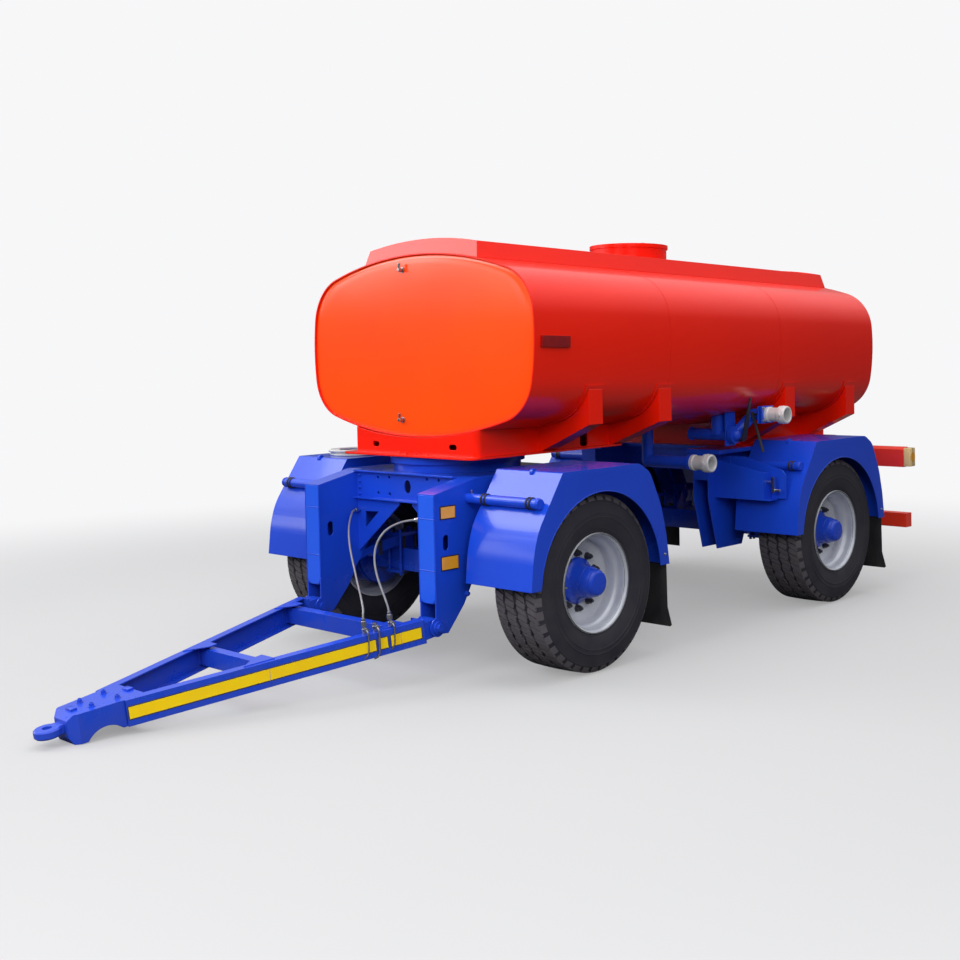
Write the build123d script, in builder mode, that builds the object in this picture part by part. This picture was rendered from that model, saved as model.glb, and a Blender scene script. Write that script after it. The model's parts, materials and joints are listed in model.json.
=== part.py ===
from build123d import *

import os
from math import asin, atan, cos, hypot, radians, sin, tan

# A two-axle water tank trailer with a steered front bogie and a hinged drawbar.
# Millimetres. +X points forward along the drawbar, +Y to the left side, +Z up.
# The origin is on the ground, in the middle of the trailer's length and width.

os.makedirs("parts", exist_ok=True)

# General clearances
SEAT_GAP = 0.3
PIN_FIT = 0.05

# Wheels and axles
TYRE_R = 536.0
TYRE_W = 385.0
WHEEL_Y = 1000.0
WHEELBASE = 2765.0
TREAD_W = 316.0
BEAD_R = 290.0
RIM_LIP_R = 300.0
RIM_W = 350.0
RIM_WALL = 8.0
RIM_WELL_R = 264.0
DISC_Y = 10.0
DISC_T = 14.0
HAND_HOLE_R = 22.5
HAND_HOLE_CIRCLE = 215.0
HAND_HOLES = 10
HUB_PILOT_R = 140.5
HUB_NECK_R = 95.0
HUB_CAP_R = 67.0
HUB_CAP_Y = 172.0
DRUM_R = 205.0
DRUM_WALL = 12.0
DRUM_Y = -200.0
BEAM_SIZE = 150.0
BEAM_HALF = 745.0
SPINDLE_R = 45.0
SPINDLE_END = 118.0
SHIELD_R = 198.0
SHIELD_T = 12.0

# Frame rails, shared by the front bogie and the rear axle frame
RAIL_IN_Y = 468.0
RAIL_OUT_Y = 607.0
RAIL_TOP = 1175.0
RAIL_BOTTOM = 950.0
CHEEK = 10.0

# Leaf springs
SPRING_W = 90.0
SPRING_HALF = 530.0
SPRING_TOP = 700.0
SPRING_SAG = 112.0
LEAF_T = 24.0
LEAF_PITCH = 23.0
EYE_PIN_R = 14.0
EYE_R = 28.0
EYE_Z = 574.0

# Drawbar
HINGE_X = 770.0
HINGE_Z = 325.0
HINGE_PIN_R = 25.0
HINGE_BOSS_R = 55.0
BAR_DEPTH = 140.0
BAR_WIDTH = 60.0
BAR_PLATE = 8.0
BAR_START = 85.0
BAR_START_Y = 592.0
BAR_TAPER = 0.2625
BAR_END = 1760.0
HEAD_START = 1640.0
HEAD_END = 2045.0
FOOT_AT = 2025.0
FOOT_DROP = 85.0
TOW_EYE_AT = 2119.0
TOW_EYE_R = 68.0
TOW_EYE_HOLE_R = 25.0
TOW_EYE_T = 45.0
TOW_EYE_CHAMFER = 8.0

# Tank: a suitcase section between arcs, extruded along a slightly falling axis
TANK_TILT = 1.375
TANK_FRONT = 348.0
TANK_LENGTH = 3970.0
TANK_MID_Z = 1970.0
TANK_HALF_W = 1028.0
TANK_RISE = 582.0
TANK_DROP = 579.0
TOP_ARC_R = 2635.0
BOTTOM_ARC_R = 2796.0
SIDE_ARC_R = 1633.0
SIDE_ARC_Z = 25.0
TOP_CORNER_R = 320.0
BOTTOM_CORNER_R = 301.0
TANK_RIM = 14.0
TANK_RIM_T = 9.0

# Manhole, placed along the tank from its front face
MANHOLE_BACK = 2156.0
NECK_R = 282.0
NECK_WALL = 8.0
NECK_TOP = 770.0
LID_R = 292.0
LID_T = 28.0
LID_HINGE = 312.0
LID_PIN_R = 8.0
EAR_W = 14.0
WELL_DEPTH = 330.0

# Spill coaming round the manhole, on the tank's top
COAMING_FRONT = 22.0
COAMING_BACK = 3985.0
COAMING_FRONT_Y = 535.0
COAMING_BACK_Y = 600.0
COAMING_H = 98.0
COAMING_WALL = 6.0
COAMING_LEAN = 14.0

# Slewing rings and cradles
RING_LOW_R = 415.0
RING_HIGH_R = 440.0
RING_BORE_R = 330.0
RING_SPLIT = 1225.0
RING_TOP = 1275.0
FLANGE_T = 12.0
CRADLE_WALL = 10.0
DOUBLER_T = 6.0

# Fenders
FENDER_IN_Y = 704.0
FENDER_OUT_Y = 1230.0
FENDER_T = 6.0
FENDER_TOP = 1225.0
ARCH_R = 550.0
TUBE_R = 30.0
TUBE_END = 1180.0
FLAP_T = 6.0
FLAP_BOTTOM = 178.0

# Rear bars
REAR_OVERHANG = 1035.0
LIGHT_BAR_X = WHEELBASE + REAR_OVERHANG
LIGHT_BAR_DEEP = 86.0
LAMP_DEEP = 24.0
UNDERRUN_SET_BACK = 20.0
UNDERRUN_X = LIGHT_BAR_X + UNDERRUN_SET_BACK
TAIL_REACH = LIGHT_BAR_X + LIGHT_BAR_DEEP + LAMP_DEEP
OVERALL_HALF = 1250.0
# End lamp beyond the bar's end: its whole length, and its stem
END_LAMP_OUT = 60.0
END_LAMP_STEM = 22.0
BAR_HALF = OVERALL_HALF - END_LAMP_OUT
# Tail lamp boxes from the bar's end inwards: margin, width and gap
LAMP_MARGIN = 12.0
LAMP_WIDE = 130.0
LAMP_GAP = 4.0

# Drawbar tilt that lays the head's foot on the ground
BAR_TILT = asin(HINGE_Z / hypot(FOOT_AT, FOOT_DROP)) - atan(FOOT_DROP / FOOT_AT)
EYE_REACH = (
    HINGE_X
    + (TOW_EYE_AT + TOW_EYE_R) * cos(BAR_TILT)
    + (TOW_EYE_T / 2 - TOW_EYE_CHAMFER) * sin(BAR_TILT)
)
FRONT_X = (TAIL_REACH - EYE_REACH) / 2
REAR_X = FRONT_X - WHEELBASE
AXLE_Z = TYRE_R
BEAM_TOP = AXLE_Z + BEAM_SIZE / 2
TANK_SLOPE = radians(TANK_TILT)

TANK = Plane(
    origin=(FRONT_X + TANK_FRONT, 0, TANK_MID_Z),
    x_dir=(0, 1, 0),
    z_dir=(cos(TANK_SLOPE), 0, sin(TANK_SLOPE)),
)
TANK_DECK = Plane(
    origin=(FRONT_X + TANK_FRONT, 0, TANK_MID_Z),
    x_dir=(cos(TANK_SLOPE), 0, sin(TANK_SLOPE)),
    z_dir=(-sin(TANK_SLOPE), 0, cos(TANK_SLOPE)),
)
BAR = Plane(
    origin=(FRONT_X + HINGE_X, 0, HINGE_Z),
    x_dir=(cos(BAR_TILT), 0, -sin(BAR_TILT)),
    z_dir=(sin(BAR_TILT), 0, cos(BAR_TILT)),
)
BAR_SIDE = Plane(
    origin=(FRONT_X + HINGE_X, 0, HINGE_Z),
    x_dir=(cos(BAR_TILT), 0, -sin(BAR_TILT)),
    z_dir=(0, -1, 0),
)


def keep(piece, name):
    """Labels a finished piece and writes it under its node name."""
    piece.part.label = name
    export_step(piece.part, f"parts/{name}.step")


def plate_x(outline, x_low, x_high, mode=Mode.ADD):
    """Adds a plate from an outline of (y, z) points, between two x values."""
    with BuildSketch(Plane.YZ.offset(x_low)) as face:
        Polygon(*outline)
    extrude(face.sketch, amount=x_high - x_low, mode=mode)


def plate_y(outline, y_low, y_high, mode=Mode.ADD):
    """Adds a plate from an outline of (x, z) points, between two y values."""
    with BuildSketch(Plane.XZ.offset(-y_high)) as face:
        Polygon(*outline)
    extrude(face.sketch, amount=y_high - y_low, mode=mode)


def plate_z(outline, z_low, z_high, mode=Mode.ADD):
    """Adds a plate from an outline of (x, y) points, between two heights."""
    with BuildSketch(Plane.XY.offset(z_low)) as face:
        Polygon(*outline)
    extrude(face.sketch, amount=z_high - z_low, mode=mode)


def block(xs, ys, zs, mode=Mode.ADD):
    """Adds a box between pairs of x, y and z values."""
    centre = ((xs[0] + xs[1]) / 2, (ys[0] + ys[1]) / 2, (zs[0] + zs[1]) / 2)
    with Locations(centre):
        Box(xs[1] - xs[0], ys[1] - ys[0], zs[1] - zs[0], mode=mode)


def rod(start, end, radius, mode=Mode.ADD):
    """Adds a round bar between two points."""
    along = Vector(*end) - Vector(*start)
    with BuildSketch(Plane(origin=start, z_dir=along)) as face:
        Circle(radius)
    extrude(face.sketch, amount=along.length, mode=mode)


def turned(axle_x, side, outline):
    """Revolves an outline of (outwards from the wheel's middle, radius) points about an axle."""
    points = [(side * (WHEEL_Y + out), AXLE_Z + radius) for out, radius in outline]
    with BuildSketch(Plane.YZ.offset(axle_x)) as section:
        Polygon(*points)
    revolve(section.sketch, axis=Axis((axle_x, 0, AXLE_Z), (0, 1, 0)), revolution_arc=360)


def draw_tank_section(grow=0.0):
    """Draws the tank's cross-section, grown outwards, in the open sketch."""
    with Locations((0, TANK_RISE - TOP_ARC_R)):
        Circle(TOP_ARC_R + grow)
    with Locations((0, BOTTOM_ARC_R - TANK_DROP)):
        Circle(BOTTOM_ARC_R + grow, mode=Mode.INTERSECT)
    for side in (1, -1):
        with Locations((side * (TANK_HALF_W - SIDE_ARC_R), SIDE_ARC_Z)):
            Circle(SIDE_ARC_R + grow, mode=Mode.INTERSECT)
    fillet(vertices().group_by(Axis.Y)[-1], radius=TOP_CORNER_R + grow)
    fillet(vertices().group_by(Axis.Y)[0], radius=BOTTOM_CORNER_R + grow)


def cut_tank_room(clearance=SEAT_GAP, ahead=0.0):
    """Cuts the open part back to the tank's skin."""
    with BuildSketch(TANK.offset(ahead)) as section:
        draw_tank_section(clearance)
    extrude(section.sketch, amount=-(TANK_LENGTH + ahead), mode=Mode.SUBTRACT)


def on_deck(back, y, height):
    """Gives the point that far back along the tank, across it and above its middle."""
    return TANK_DECK.from_local_coords((-back, y, height))


def bar_edge(along):
    """Gives the drawbar's outer half width at a distance from the hinge."""
    return BAR_START_Y - BAR_TAPER * (along - BAR_START)


# Wheels: each has a tyre, a disc rim and a hub with its brake drum
half_tread = TREAD_W / 2
bulge = TYRE_W / 2
TYRE_SECTION = [
    (-bulge + 26, BEAD_R + 14),
    (-bulge, 400),
    (-bulge + 12, 490),
    (-half_tread, TYRE_R),
    (half_tread, TYRE_R),
    (bulge - 12, 490),
    (bulge, 400),
    (bulge - 26, BEAD_R + 14),
    (bulge - 45, BEAD_R),
    (-bulge + 45, BEAD_R),
]
half_rim = RIM_W / 2
# Half of the rim's outer face, from the lip down to the well: (in from the lip, radius)
RIM_STEPS = [
    (0, RIM_LIP_R),
    (13, RIM_LIP_R),
    (18, BEAD_R - SEAT_GAP - 2),
    (70, BEAD_R - SEAT_GAP - 6),
    (90, RIM_WELL_R),
]
rim_outer = [(half_rim - inset, radius) for inset, radius in RIM_STEPS]
rim_inner = [(half_rim - inset + 3, radius - RIM_WALL) for inset, radius in RIM_STEPS]
rim_inner[0] = (half_rim, RIM_LIP_R - RIM_WALL)
RIM_SECTION = (
    rim_outer
    + [(-out, radius) for out, radius in reversed(rim_outer)]
    + [(-out, radius) for out, radius in rim_inner]
    + list(reversed(rim_inner))
)
disc_bore = HUB_PILOT_R + SEAT_GAP
disc_back = DISC_Y - DISC_T
DISC_SECTION = [
    (disc_back, disc_bore),
    (DISC_Y, disc_bore),
    (DISC_Y, 194),
    (DISC_Y + 18, 238),
    (DISC_Y + 18, RIM_WELL_R - RIM_WALL / 2),
    (DISC_Y + 4, RIM_WELL_R - RIM_WALL / 2),
    (DISC_Y + 4, 242),
    (disc_back, 198),
]
HUB_SECTION = [
    (DRUM_Y + 5, SPINDLE_R + PIN_FIT),
    (DRUM_Y + 5, 78),
    (-40, 86),
    (-40, DRUM_R - DRUM_WALL),
    (DRUM_Y, DRUM_R - DRUM_WALL),
    (DRUM_Y, DRUM_R),
    (disc_back - 20, DRUM_R),
    (disc_back - 20, 192),
    (disc_back, 192),
    (disc_back, HUB_PILOT_R),
    (DISC_Y + 10, HUB_PILOT_R),
    (DISC_Y + 24, 122),
    (DISC_Y + 34, 102),
    (DISC_Y + 78, HUB_NECK_R),
    (DISC_Y + 82, HUB_CAP_R + 5),
    (DISC_Y + 90, HUB_CAP_R),
    (HUB_CAP_Y - 10, HUB_CAP_R - 1),
    (HUB_CAP_Y, HUB_CAP_R - 11),
    (HUB_CAP_Y, 0),
    (SPINDLE_END + 4, 0),
    (SPINDLE_END + 4, SPINDLE_R + PIN_FIT),
]
# Name, axle position and side of each wheel
WHEELS = [
    ("front_left", FRONT_X, 1),
    ("front_right", FRONT_X, -1),
    ("rear_left", REAR_X, 1),
    ("rear_right", REAR_X, -1),
]
for wheel, axle_x, side in WHEELS:
    with BuildPart() as tyre:
        turned(axle_x, side, TYRE_SECTION)
    keep(tyre, f"tyre_{wheel}")

    with BuildPart() as rim:
        turned(axle_x, side, RIM_SECTION)
        turned(axle_x, side, DISC_SECTION)
        with BuildSketch(Plane.XZ.offset(-side * WHEEL_Y)) as hand_holes:
            with Locations((axle_x, AXLE_Z)):
                with PolarLocations(HAND_HOLE_CIRCLE, HAND_HOLES):
                    Circle(HAND_HOLE_R)
        extrude(hand_holes.sketch, amount=40, both=True, mode=Mode.SUBTRACT)
    keep(rim, f"rim_{wheel}")

    with BuildPart() as hub:
        turned(axle_x, side, HUB_SECTION)
    keep(hub, f"hub_{wheel}")

# Axles, springs and brake gear, one set under each end
CAM_X = -130.0
CAM_R = 18.0
SLACK_Y = 400.0
CHAMBER_X = -195.0
CHAMBER_Z = 172.0
CHAMBER_R = 82.0
spring_mid = (RAIL_IN_Y + RAIL_OUT_Y) / 2
spring_in = spring_mid - SPRING_W / 2
spring_out = spring_mid + SPRING_W / 2
spring_bend_r = (SPRING_HALF**2 + SPRING_SAG**2) / (2 * SPRING_SAG)
spring_centre_z = SPRING_TOP - spring_bend_r
for end, axle_x in (("front", FRONT_X), ("rear", REAR_X)):
    beam = BEAM_SIZE / 2
    shield_in = WHEEL_Y + DRUM_Y - 15 - SHIELD_T
    with BuildPart() as axle:
        block((axle_x - beam, axle_x + beam), (-BEAM_HALF, BEAM_HALF), (AXLE_Z - beam, AXLE_Z + beam))
        for side in (1, -1):
            # Round stretches towards the wheel: (start, end, radius)
            for start_y, end_y, radius in (
                (BEAM_HALF, WHEEL_Y + DRUM_Y - 2, 70),
                (BEAM_HALF, WHEEL_Y + SPINDLE_END, SPINDLE_R),
                (shield_in, shield_in + SHIELD_T, SHIELD_R),
            ):
                rod((axle_x, side * start_y, AXLE_Z), (axle_x, side * end_y, AXLE_Z), radius)
            # Bracket that carries the brake chamber behind the beam
            gusset = [
                (axle_x - beam, AXLE_Z + beam),
                (axle_x - beam, AXLE_Z - 10),
                (axle_x + CHAMBER_X, AXLE_Z + 90),
                (axle_x + CHAMBER_X, AXLE_Z + 240),
            ]
            low, high = sorted((side * (SLACK_Y - 50), side * (SLACK_Y - 38)))
            plate_y(gusset, low, high)
            low, high = sorted((side * (SLACK_Y - 60), side * (SLACK_Y + 60)))
            block(
                (axle_x + CHAMBER_X, axle_x + CHAMBER_X + 10),
                (low, high),
                (AXLE_Z + 90, AXLE_Z + 250),
            )
            rod(
                (axle_x + CHAMBER_X - 1, side * SLACK_Y, AXLE_Z + CHAMBER_Z),
                (axle_x + CHAMBER_X + 11, side * SLACK_Y, AXLE_Z + CHAMBER_Z),
                14,
                mode=Mode.SUBTRACT,
            )
    keep(axle, f"{end}_axle")

    with BuildPart() as springs:
        # Leaves from the top down, by their half length, bent about one centre
        for number, half_length in enumerate((SPRING_HALF, 440.0, 330.0)):
            upper_r = spring_bend_r - number * LEAF_PITCH
            lower_r = upper_r - LEAF_T
            upper_tip = spring_centre_z + (upper_r**2 - half_length**2) ** 0.5
            lower_tip = spring_centre_z + (lower_r**2 - half_length**2) ** 0.5
            left, right = axle_x - half_length, axle_x + half_length
            upper_crown = (axle_x, spring_centre_z + upper_r)
            lower_crown = (axle_x, spring_centre_z + lower_r)
            with BuildSketch(Plane.XZ.offset(-spring_out)) as leaf:
                with BuildLine():
                    ThreePointArc((left, upper_tip), upper_crown, (right, upper_tip))
                    Line((right, upper_tip), (right, lower_tip))
                    ThreePointArc((right, lower_tip), lower_crown, (left, lower_tip))
                    Line((left, lower_tip), (left, upper_tip))
                make_face()
            extrude(leaf.sketch, amount=SPRING_W)
        pack_bottom = SPRING_TOP - 2 * LEAF_PITCH - LEAF_T
        block((axle_x - beam, axle_x + beam), (spring_in, spring_out), (BEAM_TOP, pack_bottom + 6))
        for eye_x in (axle_x - SPRING_HALF, axle_x + SPRING_HALF):
            rod((eye_x, spring_in, EYE_Z), (eye_x, spring_out, EYE_Z), EYE_R)
            rod((eye_x, RAIL_IN_Y + CHEEK, EYE_Z), (eye_x, RAIL_OUT_Y - CHEEK, EYE_Z), EYE_PIN_R)
        # Clamp plates above the leaves and below the beam, joined by four bars
        for low, high in ((SPRING_TOP - 8, SPRING_TOP + 16), (AXLE_Z - beam - 18, AXLE_Z - beam)):
            block((axle_x - 108, axle_x + 108), (spring_mid - 74, spring_mid + 74), (low, high))
        for bar_x in (-90, 90):
            for bar_y in (-58, 58):
                foot = (axle_x + bar_x, spring_mid + bar_y, AXLE_Z - beam - 34)
                head = (axle_x + bar_x, spring_mid + bar_y, SPRING_TOP + 34)
                rod(foot, head, 11)
        mirror(about=Plane.XZ)
    keep(springs, f"{end}_springs")

    with BuildPart() as brakes:
        cam_z = AXLE_Z + 25
        rod((axle_x + CAM_X, SLACK_Y - 30, cam_z), (axle_x + CAM_X, shield_in, cam_z), CAM_R)
        lever = [(-26, -26), (26, -26), (14, CHAMBER_Z - 10), (-14, CHAMBER_Z - 10)]
        plate_y([(axle_x + CAM_X + dx, cam_z + dz) for dx, dz in lever], SLACK_Y - 8, SLACK_Y + 8)
        chamber_z = AXLE_Z + CHAMBER_Z
        # Sections of each chamber: (start, end, radius), measured back from the bracket
        for start, stop, radius in ((0, 62, 78), (50, 66, CHAMBER_R), (60, 150, 74), (62, 70, CHAMBER_R)):
            rod(
                (axle_x + CHAMBER_X - start, SLACK_Y, chamber_z),
                (axle_x + CHAMBER_X - stop, SLACK_Y, chamber_z),
                radius,
            )
        rod((axle_x + CHAMBER_X, SLACK_Y, chamber_z), (axle_x + CAM_X - 8, SLACK_Y, chamber_z), 9)
        mirror(about=Plane.XZ)
    keep(brakes, f"{end}_brake_gear")

# Fenders with their carrying tubes and mudflaps
# Outline from the front foot over the top to the rear foot: (x, z, corner radius)
FENDER_OUTLINE = [
    (632, 575, 0),
    (610, 765, 500),
    (572, 905, 420),
    (350, FENDER_TOP, 14),
    (-350, FENDER_TOP, 90),
    (-455, 1165, 120),
    (-560, 950, 400),
    (-608, 770, 500),
    (-636, 575, 0),
]
FENDER_FOOT = FENDER_OUTLINE[0][1]
front_slope = (FENDER_OUTLINE[3][0] - FENDER_OUTLINE[2][0], FENDER_TOP - FENDER_OUTLINE[2][1])
slope_length = hypot(*front_slope)
TUBE_SHARE = 0.42
tube_out = TUBE_R + SEAT_GAP
TUBE_X = FENDER_OUTLINE[2][0] + TUBE_SHARE * front_slope[0] + tube_out * front_slope[1] / slope_length
TUBE_Z = FENDER_OUTLINE[2][1] + TUBE_SHARE * front_slope[1] - tube_out * front_slope[0] / slope_length
BACK_TUBE_X = -432.0
BACK_TUBE_Z = 1050.0


def fender_wire(axle_x, drop):
    """Draws the fender's outline, its feet lengthened downwards, in the open line."""
    first, last = FENDER_OUTLINE[0], FENDER_OUTLINE[-1]
    inner = FENDER_OUTLINE[1:-1]
    points = [(axle_x + first[0], first[1] - drop)]
    points += [(axle_x + x, z) for x, z, _ in inner]
    points += [(axle_x + last[0], last[1] - drop)]
    FilletPolyline(*points, radius=[radius for _, _, radius in inner])
    Line(points[-1], points[0])


for end, axle_x in (("front", FRONT_X), ("rear", REAR_X)):
    with BuildPart() as fenders:
        with BuildSketch(Plane.XZ.offset(-FENDER_OUT_Y)) as shell:
            with BuildLine():
                fender_wire(axle_x, 0)
            make_face()
        extrude(shell.sketch, amount=FENDER_OUT_Y - FENDER_IN_Y)
        with BuildSketch(Plane.XZ.offset(FENDER_T - FENDER_OUT_Y)) as room:
            with BuildLine():
                fender_wire(axle_x, 60)
            make_face()
            offset(amount=-FENDER_T)
        extrude(room.sketch, amount=FENDER_OUT_Y - FENDER_IN_Y - 2 * FENDER_T, mode=Mode.SUBTRACT)
        # Round arch through both side walls, over the wheel
        with BuildSketch(Plane.XZ.offset(-FENDER_OUT_Y - 1)) as arch:
            with Locations((axle_x, AXLE_Z)):
                Circle(ARCH_R)
        extrude(arch.sketch, amount=FENDER_OUT_Y - FENDER_IN_Y + 2, mode=Mode.SUBTRACT)
        mirror(about=Plane.XZ)
    keep(fenders, f"{end}_fenders")

    with BuildPart() as tubes:
        rod((axle_x + TUBE_X, RAIL_OUT_Y, TUBE_Z), (axle_x + TUBE_X, TUBE_END, TUBE_Z), TUBE_R)
        back = (axle_x + BACK_TUBE_X, FENDER_IN_Y - SEAT_GAP, BACK_TUBE_Z)
        rod((axle_x + BACK_TUBE_X, RAIL_OUT_Y, BACK_TUBE_Z), back, TUBE_R)
        mirror(about=Plane.XZ)
    keep(tubes, f"{end}_fender_tubes")

    with BuildPart() as flaps:
        flap_x = axle_x + FENDER_OUTLINE[-1][0] - SEAT_GAP
        flap = [
            (745, FENDER_FOOT + 24),
            (1200, FENDER_FOOT + 24),
            (1205, 300),
            (1236, FLAP_BOTTOM + 10),
            (1225, FLAP_BOTTOM),
            (745, FLAP_BOTTOM),
        ]
        plate_x(flap, flap_x - FLAP_T, flap_x)
        mirror(about=Plane.XZ)
    keep(flaps, f"{end}_mudflaps")

# Front bogie frame: two side boxes with hanger legs, a deck and cross-members
deck_edge = [(-750, RAIL_TOP), (414, RAIL_TOP), (780, 1100)]
LEG_OUTLINE = deck_edge + [
    (780, 352),
    (HINGE_X, HINGE_Z),
    (735, 283),
    (687, 280),
    (553, 431),
    (486, 547),
    (180, RAIL_BOTTOM),
    (-300, RAIL_BOTTOM),
    (-470, 560),
    (-500, 440),
    (-690, 440),
    (-750, 600),
]
RAIL_OUTLINE = deck_edge + [(780, RAIL_BOTTOM), (-750, RAIL_BOTTOM)]
WEB_X = 450.0
WEB_T = 10.0
WEB_FLANGE = 44.0
WEB_BOTTOM = 990.0
BULKHEAD = 24.0
DECK_T = 10.0
# Holes in the front cross-member's web: (y, z, radius)
WEB_HOLES = [
    (-263, 1134, 10),
    (-154, 1138, 10),
    (-260, 1032, 10),
    (-150, 1032, 10),
    (201, 1142, 10),
    (308, 1142, 10),
]
with BuildPart() as bogie_frame:
    leg = [(FRONT_X + x, z) for x, z in LEG_OUTLINE]
    for y_low in (RAIL_IN_Y, RAIL_OUT_Y - CHEEK):
        plate_y(leg, y_low, y_low + CHEEK)
        rod(
            (FRONT_X + HINGE_X, y_low, HINGE_Z),
            (FRONT_X + HINGE_X, y_low + CHEEK, HINGE_Z),
            HINGE_BOSS_R,
        )
    plate_y([(FRONT_X + x, z) for x, z in RAIL_OUTLINE], RAIL_IN_Y, RAIL_OUT_Y)
    # Front strip of each leg, with a rounded lower end
    with BuildSketch(Plane.YZ.offset(FRONT_X + 770)) as strip:
        with BuildLine():
            Polyline((RAIL_IN_Y, 500), (RAIL_IN_Y, 1100), (RAIL_OUT_Y, 1100), (RAIL_OUT_Y, 500))
            FilletPolyline(
                (RAIL_OUT_Y, 500), (RAIL_OUT_Y, 460), (RAIL_IN_Y, 460), (RAIL_IN_Y, 500), radius=38
            )
        make_face()
    extrude(strip.sketch, amount=10)
    # Lightening hole through both cheeks of each leg
    with BuildSketch(Plane.XZ.offset(-RAIL_OUT_Y - 1)) as slot:
        with Locations((FRONT_X + 691, 812)):
            SlotOverall(92, 46, rotation=90)
    extrude(slot.sketch, amount=RAIL_OUT_Y - RAIL_IN_Y + 2, mode=Mode.SUBTRACT)
    rod(
        (FRONT_X + HINGE_X, RAIL_IN_Y - 1, HINGE_Z),
        (FRONT_X + HINGE_X, RAIL_OUT_Y + 1, HINGE_Z),
        HINGE_PIN_R + SEAT_GAP,
        mode=Mode.SUBTRACT,
    )
    # Gusset between each leg and the front cross-member, with a three-sided window
    gusset = [(RAIL_IN_Y, 640), (RAIL_IN_Y, WEB_BOTTOM), (60, WEB_BOTTOM), (60, 968)]
    window = [(396, 800), (396, 905), (262, 912)]
    plate_x(gusset, FRONT_X + WEB_X, FRONT_X + WEB_X + WEB_T)
    plate_x(window, FRONT_X + WEB_X - 1, FRONT_X + WEB_X + WEB_T + 1, mode=Mode.SUBTRACT)
    mirror(about=Plane.XZ)
    for web_x, outwards in ((WEB_X, 1), (-WEB_X, -1)):
        face = FRONT_X + web_x
        low, high = sorted((face, face + outwards * WEB_T))
        block((low, high), (-RAIL_IN_Y, RAIL_IN_Y), (WEB_BOTTOM, RAIL_TOP))
        low, high = sorted((face, face + outwards * WEB_FLANGE))
        block((low, high), (-RAIL_IN_Y, RAIL_IN_Y), (WEB_BOTTOM, WEB_BOTTOM + WEB_T))
    block(
        (FRONT_X - WEB_X - WEB_FLANGE, FRONT_X + WEB_X + WEB_FLANGE),
        (-RAIL_IN_Y, RAIL_IN_Y),
        (RAIL_TOP - DECK_T, RAIL_TOP),
    )
    for hole_y, hole_z, radius in WEB_HOLES:
        start = (FRONT_X + WEB_X - 1, hole_y, hole_z)
        rod(start, (FRONT_X + WEB_X + WEB_T + 1, hole_y, hole_z), radius, mode=Mode.SUBTRACT)
    with BuildSketch(Plane.YZ.offset(FRONT_X + WEB_X - 1)) as oval:
        with Locations((20, 1086)):
            Ellipse(30, 42)
    extrude(oval.sketch, amount=WEB_T + 2, mode=Mode.SUBTRACT)
    # Bulkhead unions for the two brake hoses, on the right gusset and the left leg
    rod((FRONT_X + WEB_X + WEB_T, -452, 912), (FRONT_X + WEB_X + BULKHEAD, -452, 912), 13)
    rod((FRONT_X + 745, RAIL_IN_Y, 937), (FRONT_X + 745, RAIL_IN_Y - BULKHEAD, 937), 13)
keep(bogie_frame, "bogie_frame")

with BuildPart() as drawbar_pins:
    rod(
        (FRONT_X + HINGE_X, RAIL_IN_Y - 12, HINGE_Z),
        (FRONT_X + HINGE_X, RAIL_OUT_Y + 8, HINGE_Z),
        HINGE_PIN_R,
    )
    rod(
        (FRONT_X + HINGE_X, RAIL_OUT_Y, HINGE_Z),
        (FRONT_X + HINGE_X, RAIL_OUT_Y + 14, HINGE_Z),
        HINGE_PIN_R + 13,
    )
    with BuildSketch(Plane.XZ.offset(-RAIL_OUT_Y - 30)) as nut:
        with Locations((FRONT_X + HINGE_X, HINGE_Z)):
            RegularPolygon(26, 6)
    extrude(nut.sketch, amount=17)
    mirror(about=Plane.XZ)
keep(drawbar_pins, "drawbar_pins")

# Amber reflectors on the legs' outer cheeks: (x low, x high, z low, z high)
LEG_REFLECTORS = [(618, 730, 955, 1022), (600, 730, 655, 728)]
with BuildPart() as bogie_reflectors:
    for x_low, x_high, z_low, z_high in LEG_REFLECTORS:
        block(
            (FRONT_X + x_low, FRONT_X + x_high), (RAIL_OUT_Y, RAIL_OUT_Y + 6), (z_low, z_high)
        )
    mirror(about=Plane.XZ)
keep(bogie_reflectors, "bogie_reflectors")

# Slewing rings: the lower one turns with the bogie, the upper one carries the tank
# Node, radius, bottom and top
RINGS = [
    ("slewing_ring_lower", RING_LOW_R, RAIL_TOP, RING_SPLIT),
    ("slewing_ring_upper", RING_HIGH_R, RING_SPLIT + SEAT_GAP, RING_TOP),
]
for name, radius, bottom, top in RINGS:
    with BuildPart() as ring:
        with BuildSketch(Plane.XY.offset(bottom)):
            with Locations((FRONT_X, 0)):
                Circle(radius)
                Circle(RING_BORE_R, mode=Mode.SUBTRACT)
        extrude(amount=top - bottom)
    keep(ring, name)

# Tank shell with a raised rim at each end and a well under the manhole
with BuildPart() as tank_shell:
    with BuildSketch(TANK):
        draw_tank_section()
    extrude(amount=-TANK_LENGTH)
    for end_back, inwards in ((0, -1), (TANK_LENGTH, 1)):
        with BuildSketch(TANK.offset(-end_back)):
            draw_tank_section(-TANK_RIM_T)
        extrude(amount=inwards * TANK_RIM, mode=Mode.SUBTRACT)
    with BuildSketch(TANK_DECK.offset(TANK_RISE - WELL_DEPTH)):
        with Locations((-MANHOLE_BACK, 0)):
            Circle(NECK_R - NECK_WALL)
    extrude(amount=WELL_DEPTH + 10, mode=Mode.SUBTRACT)
keep(tank_shell, "tank_shell")

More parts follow.
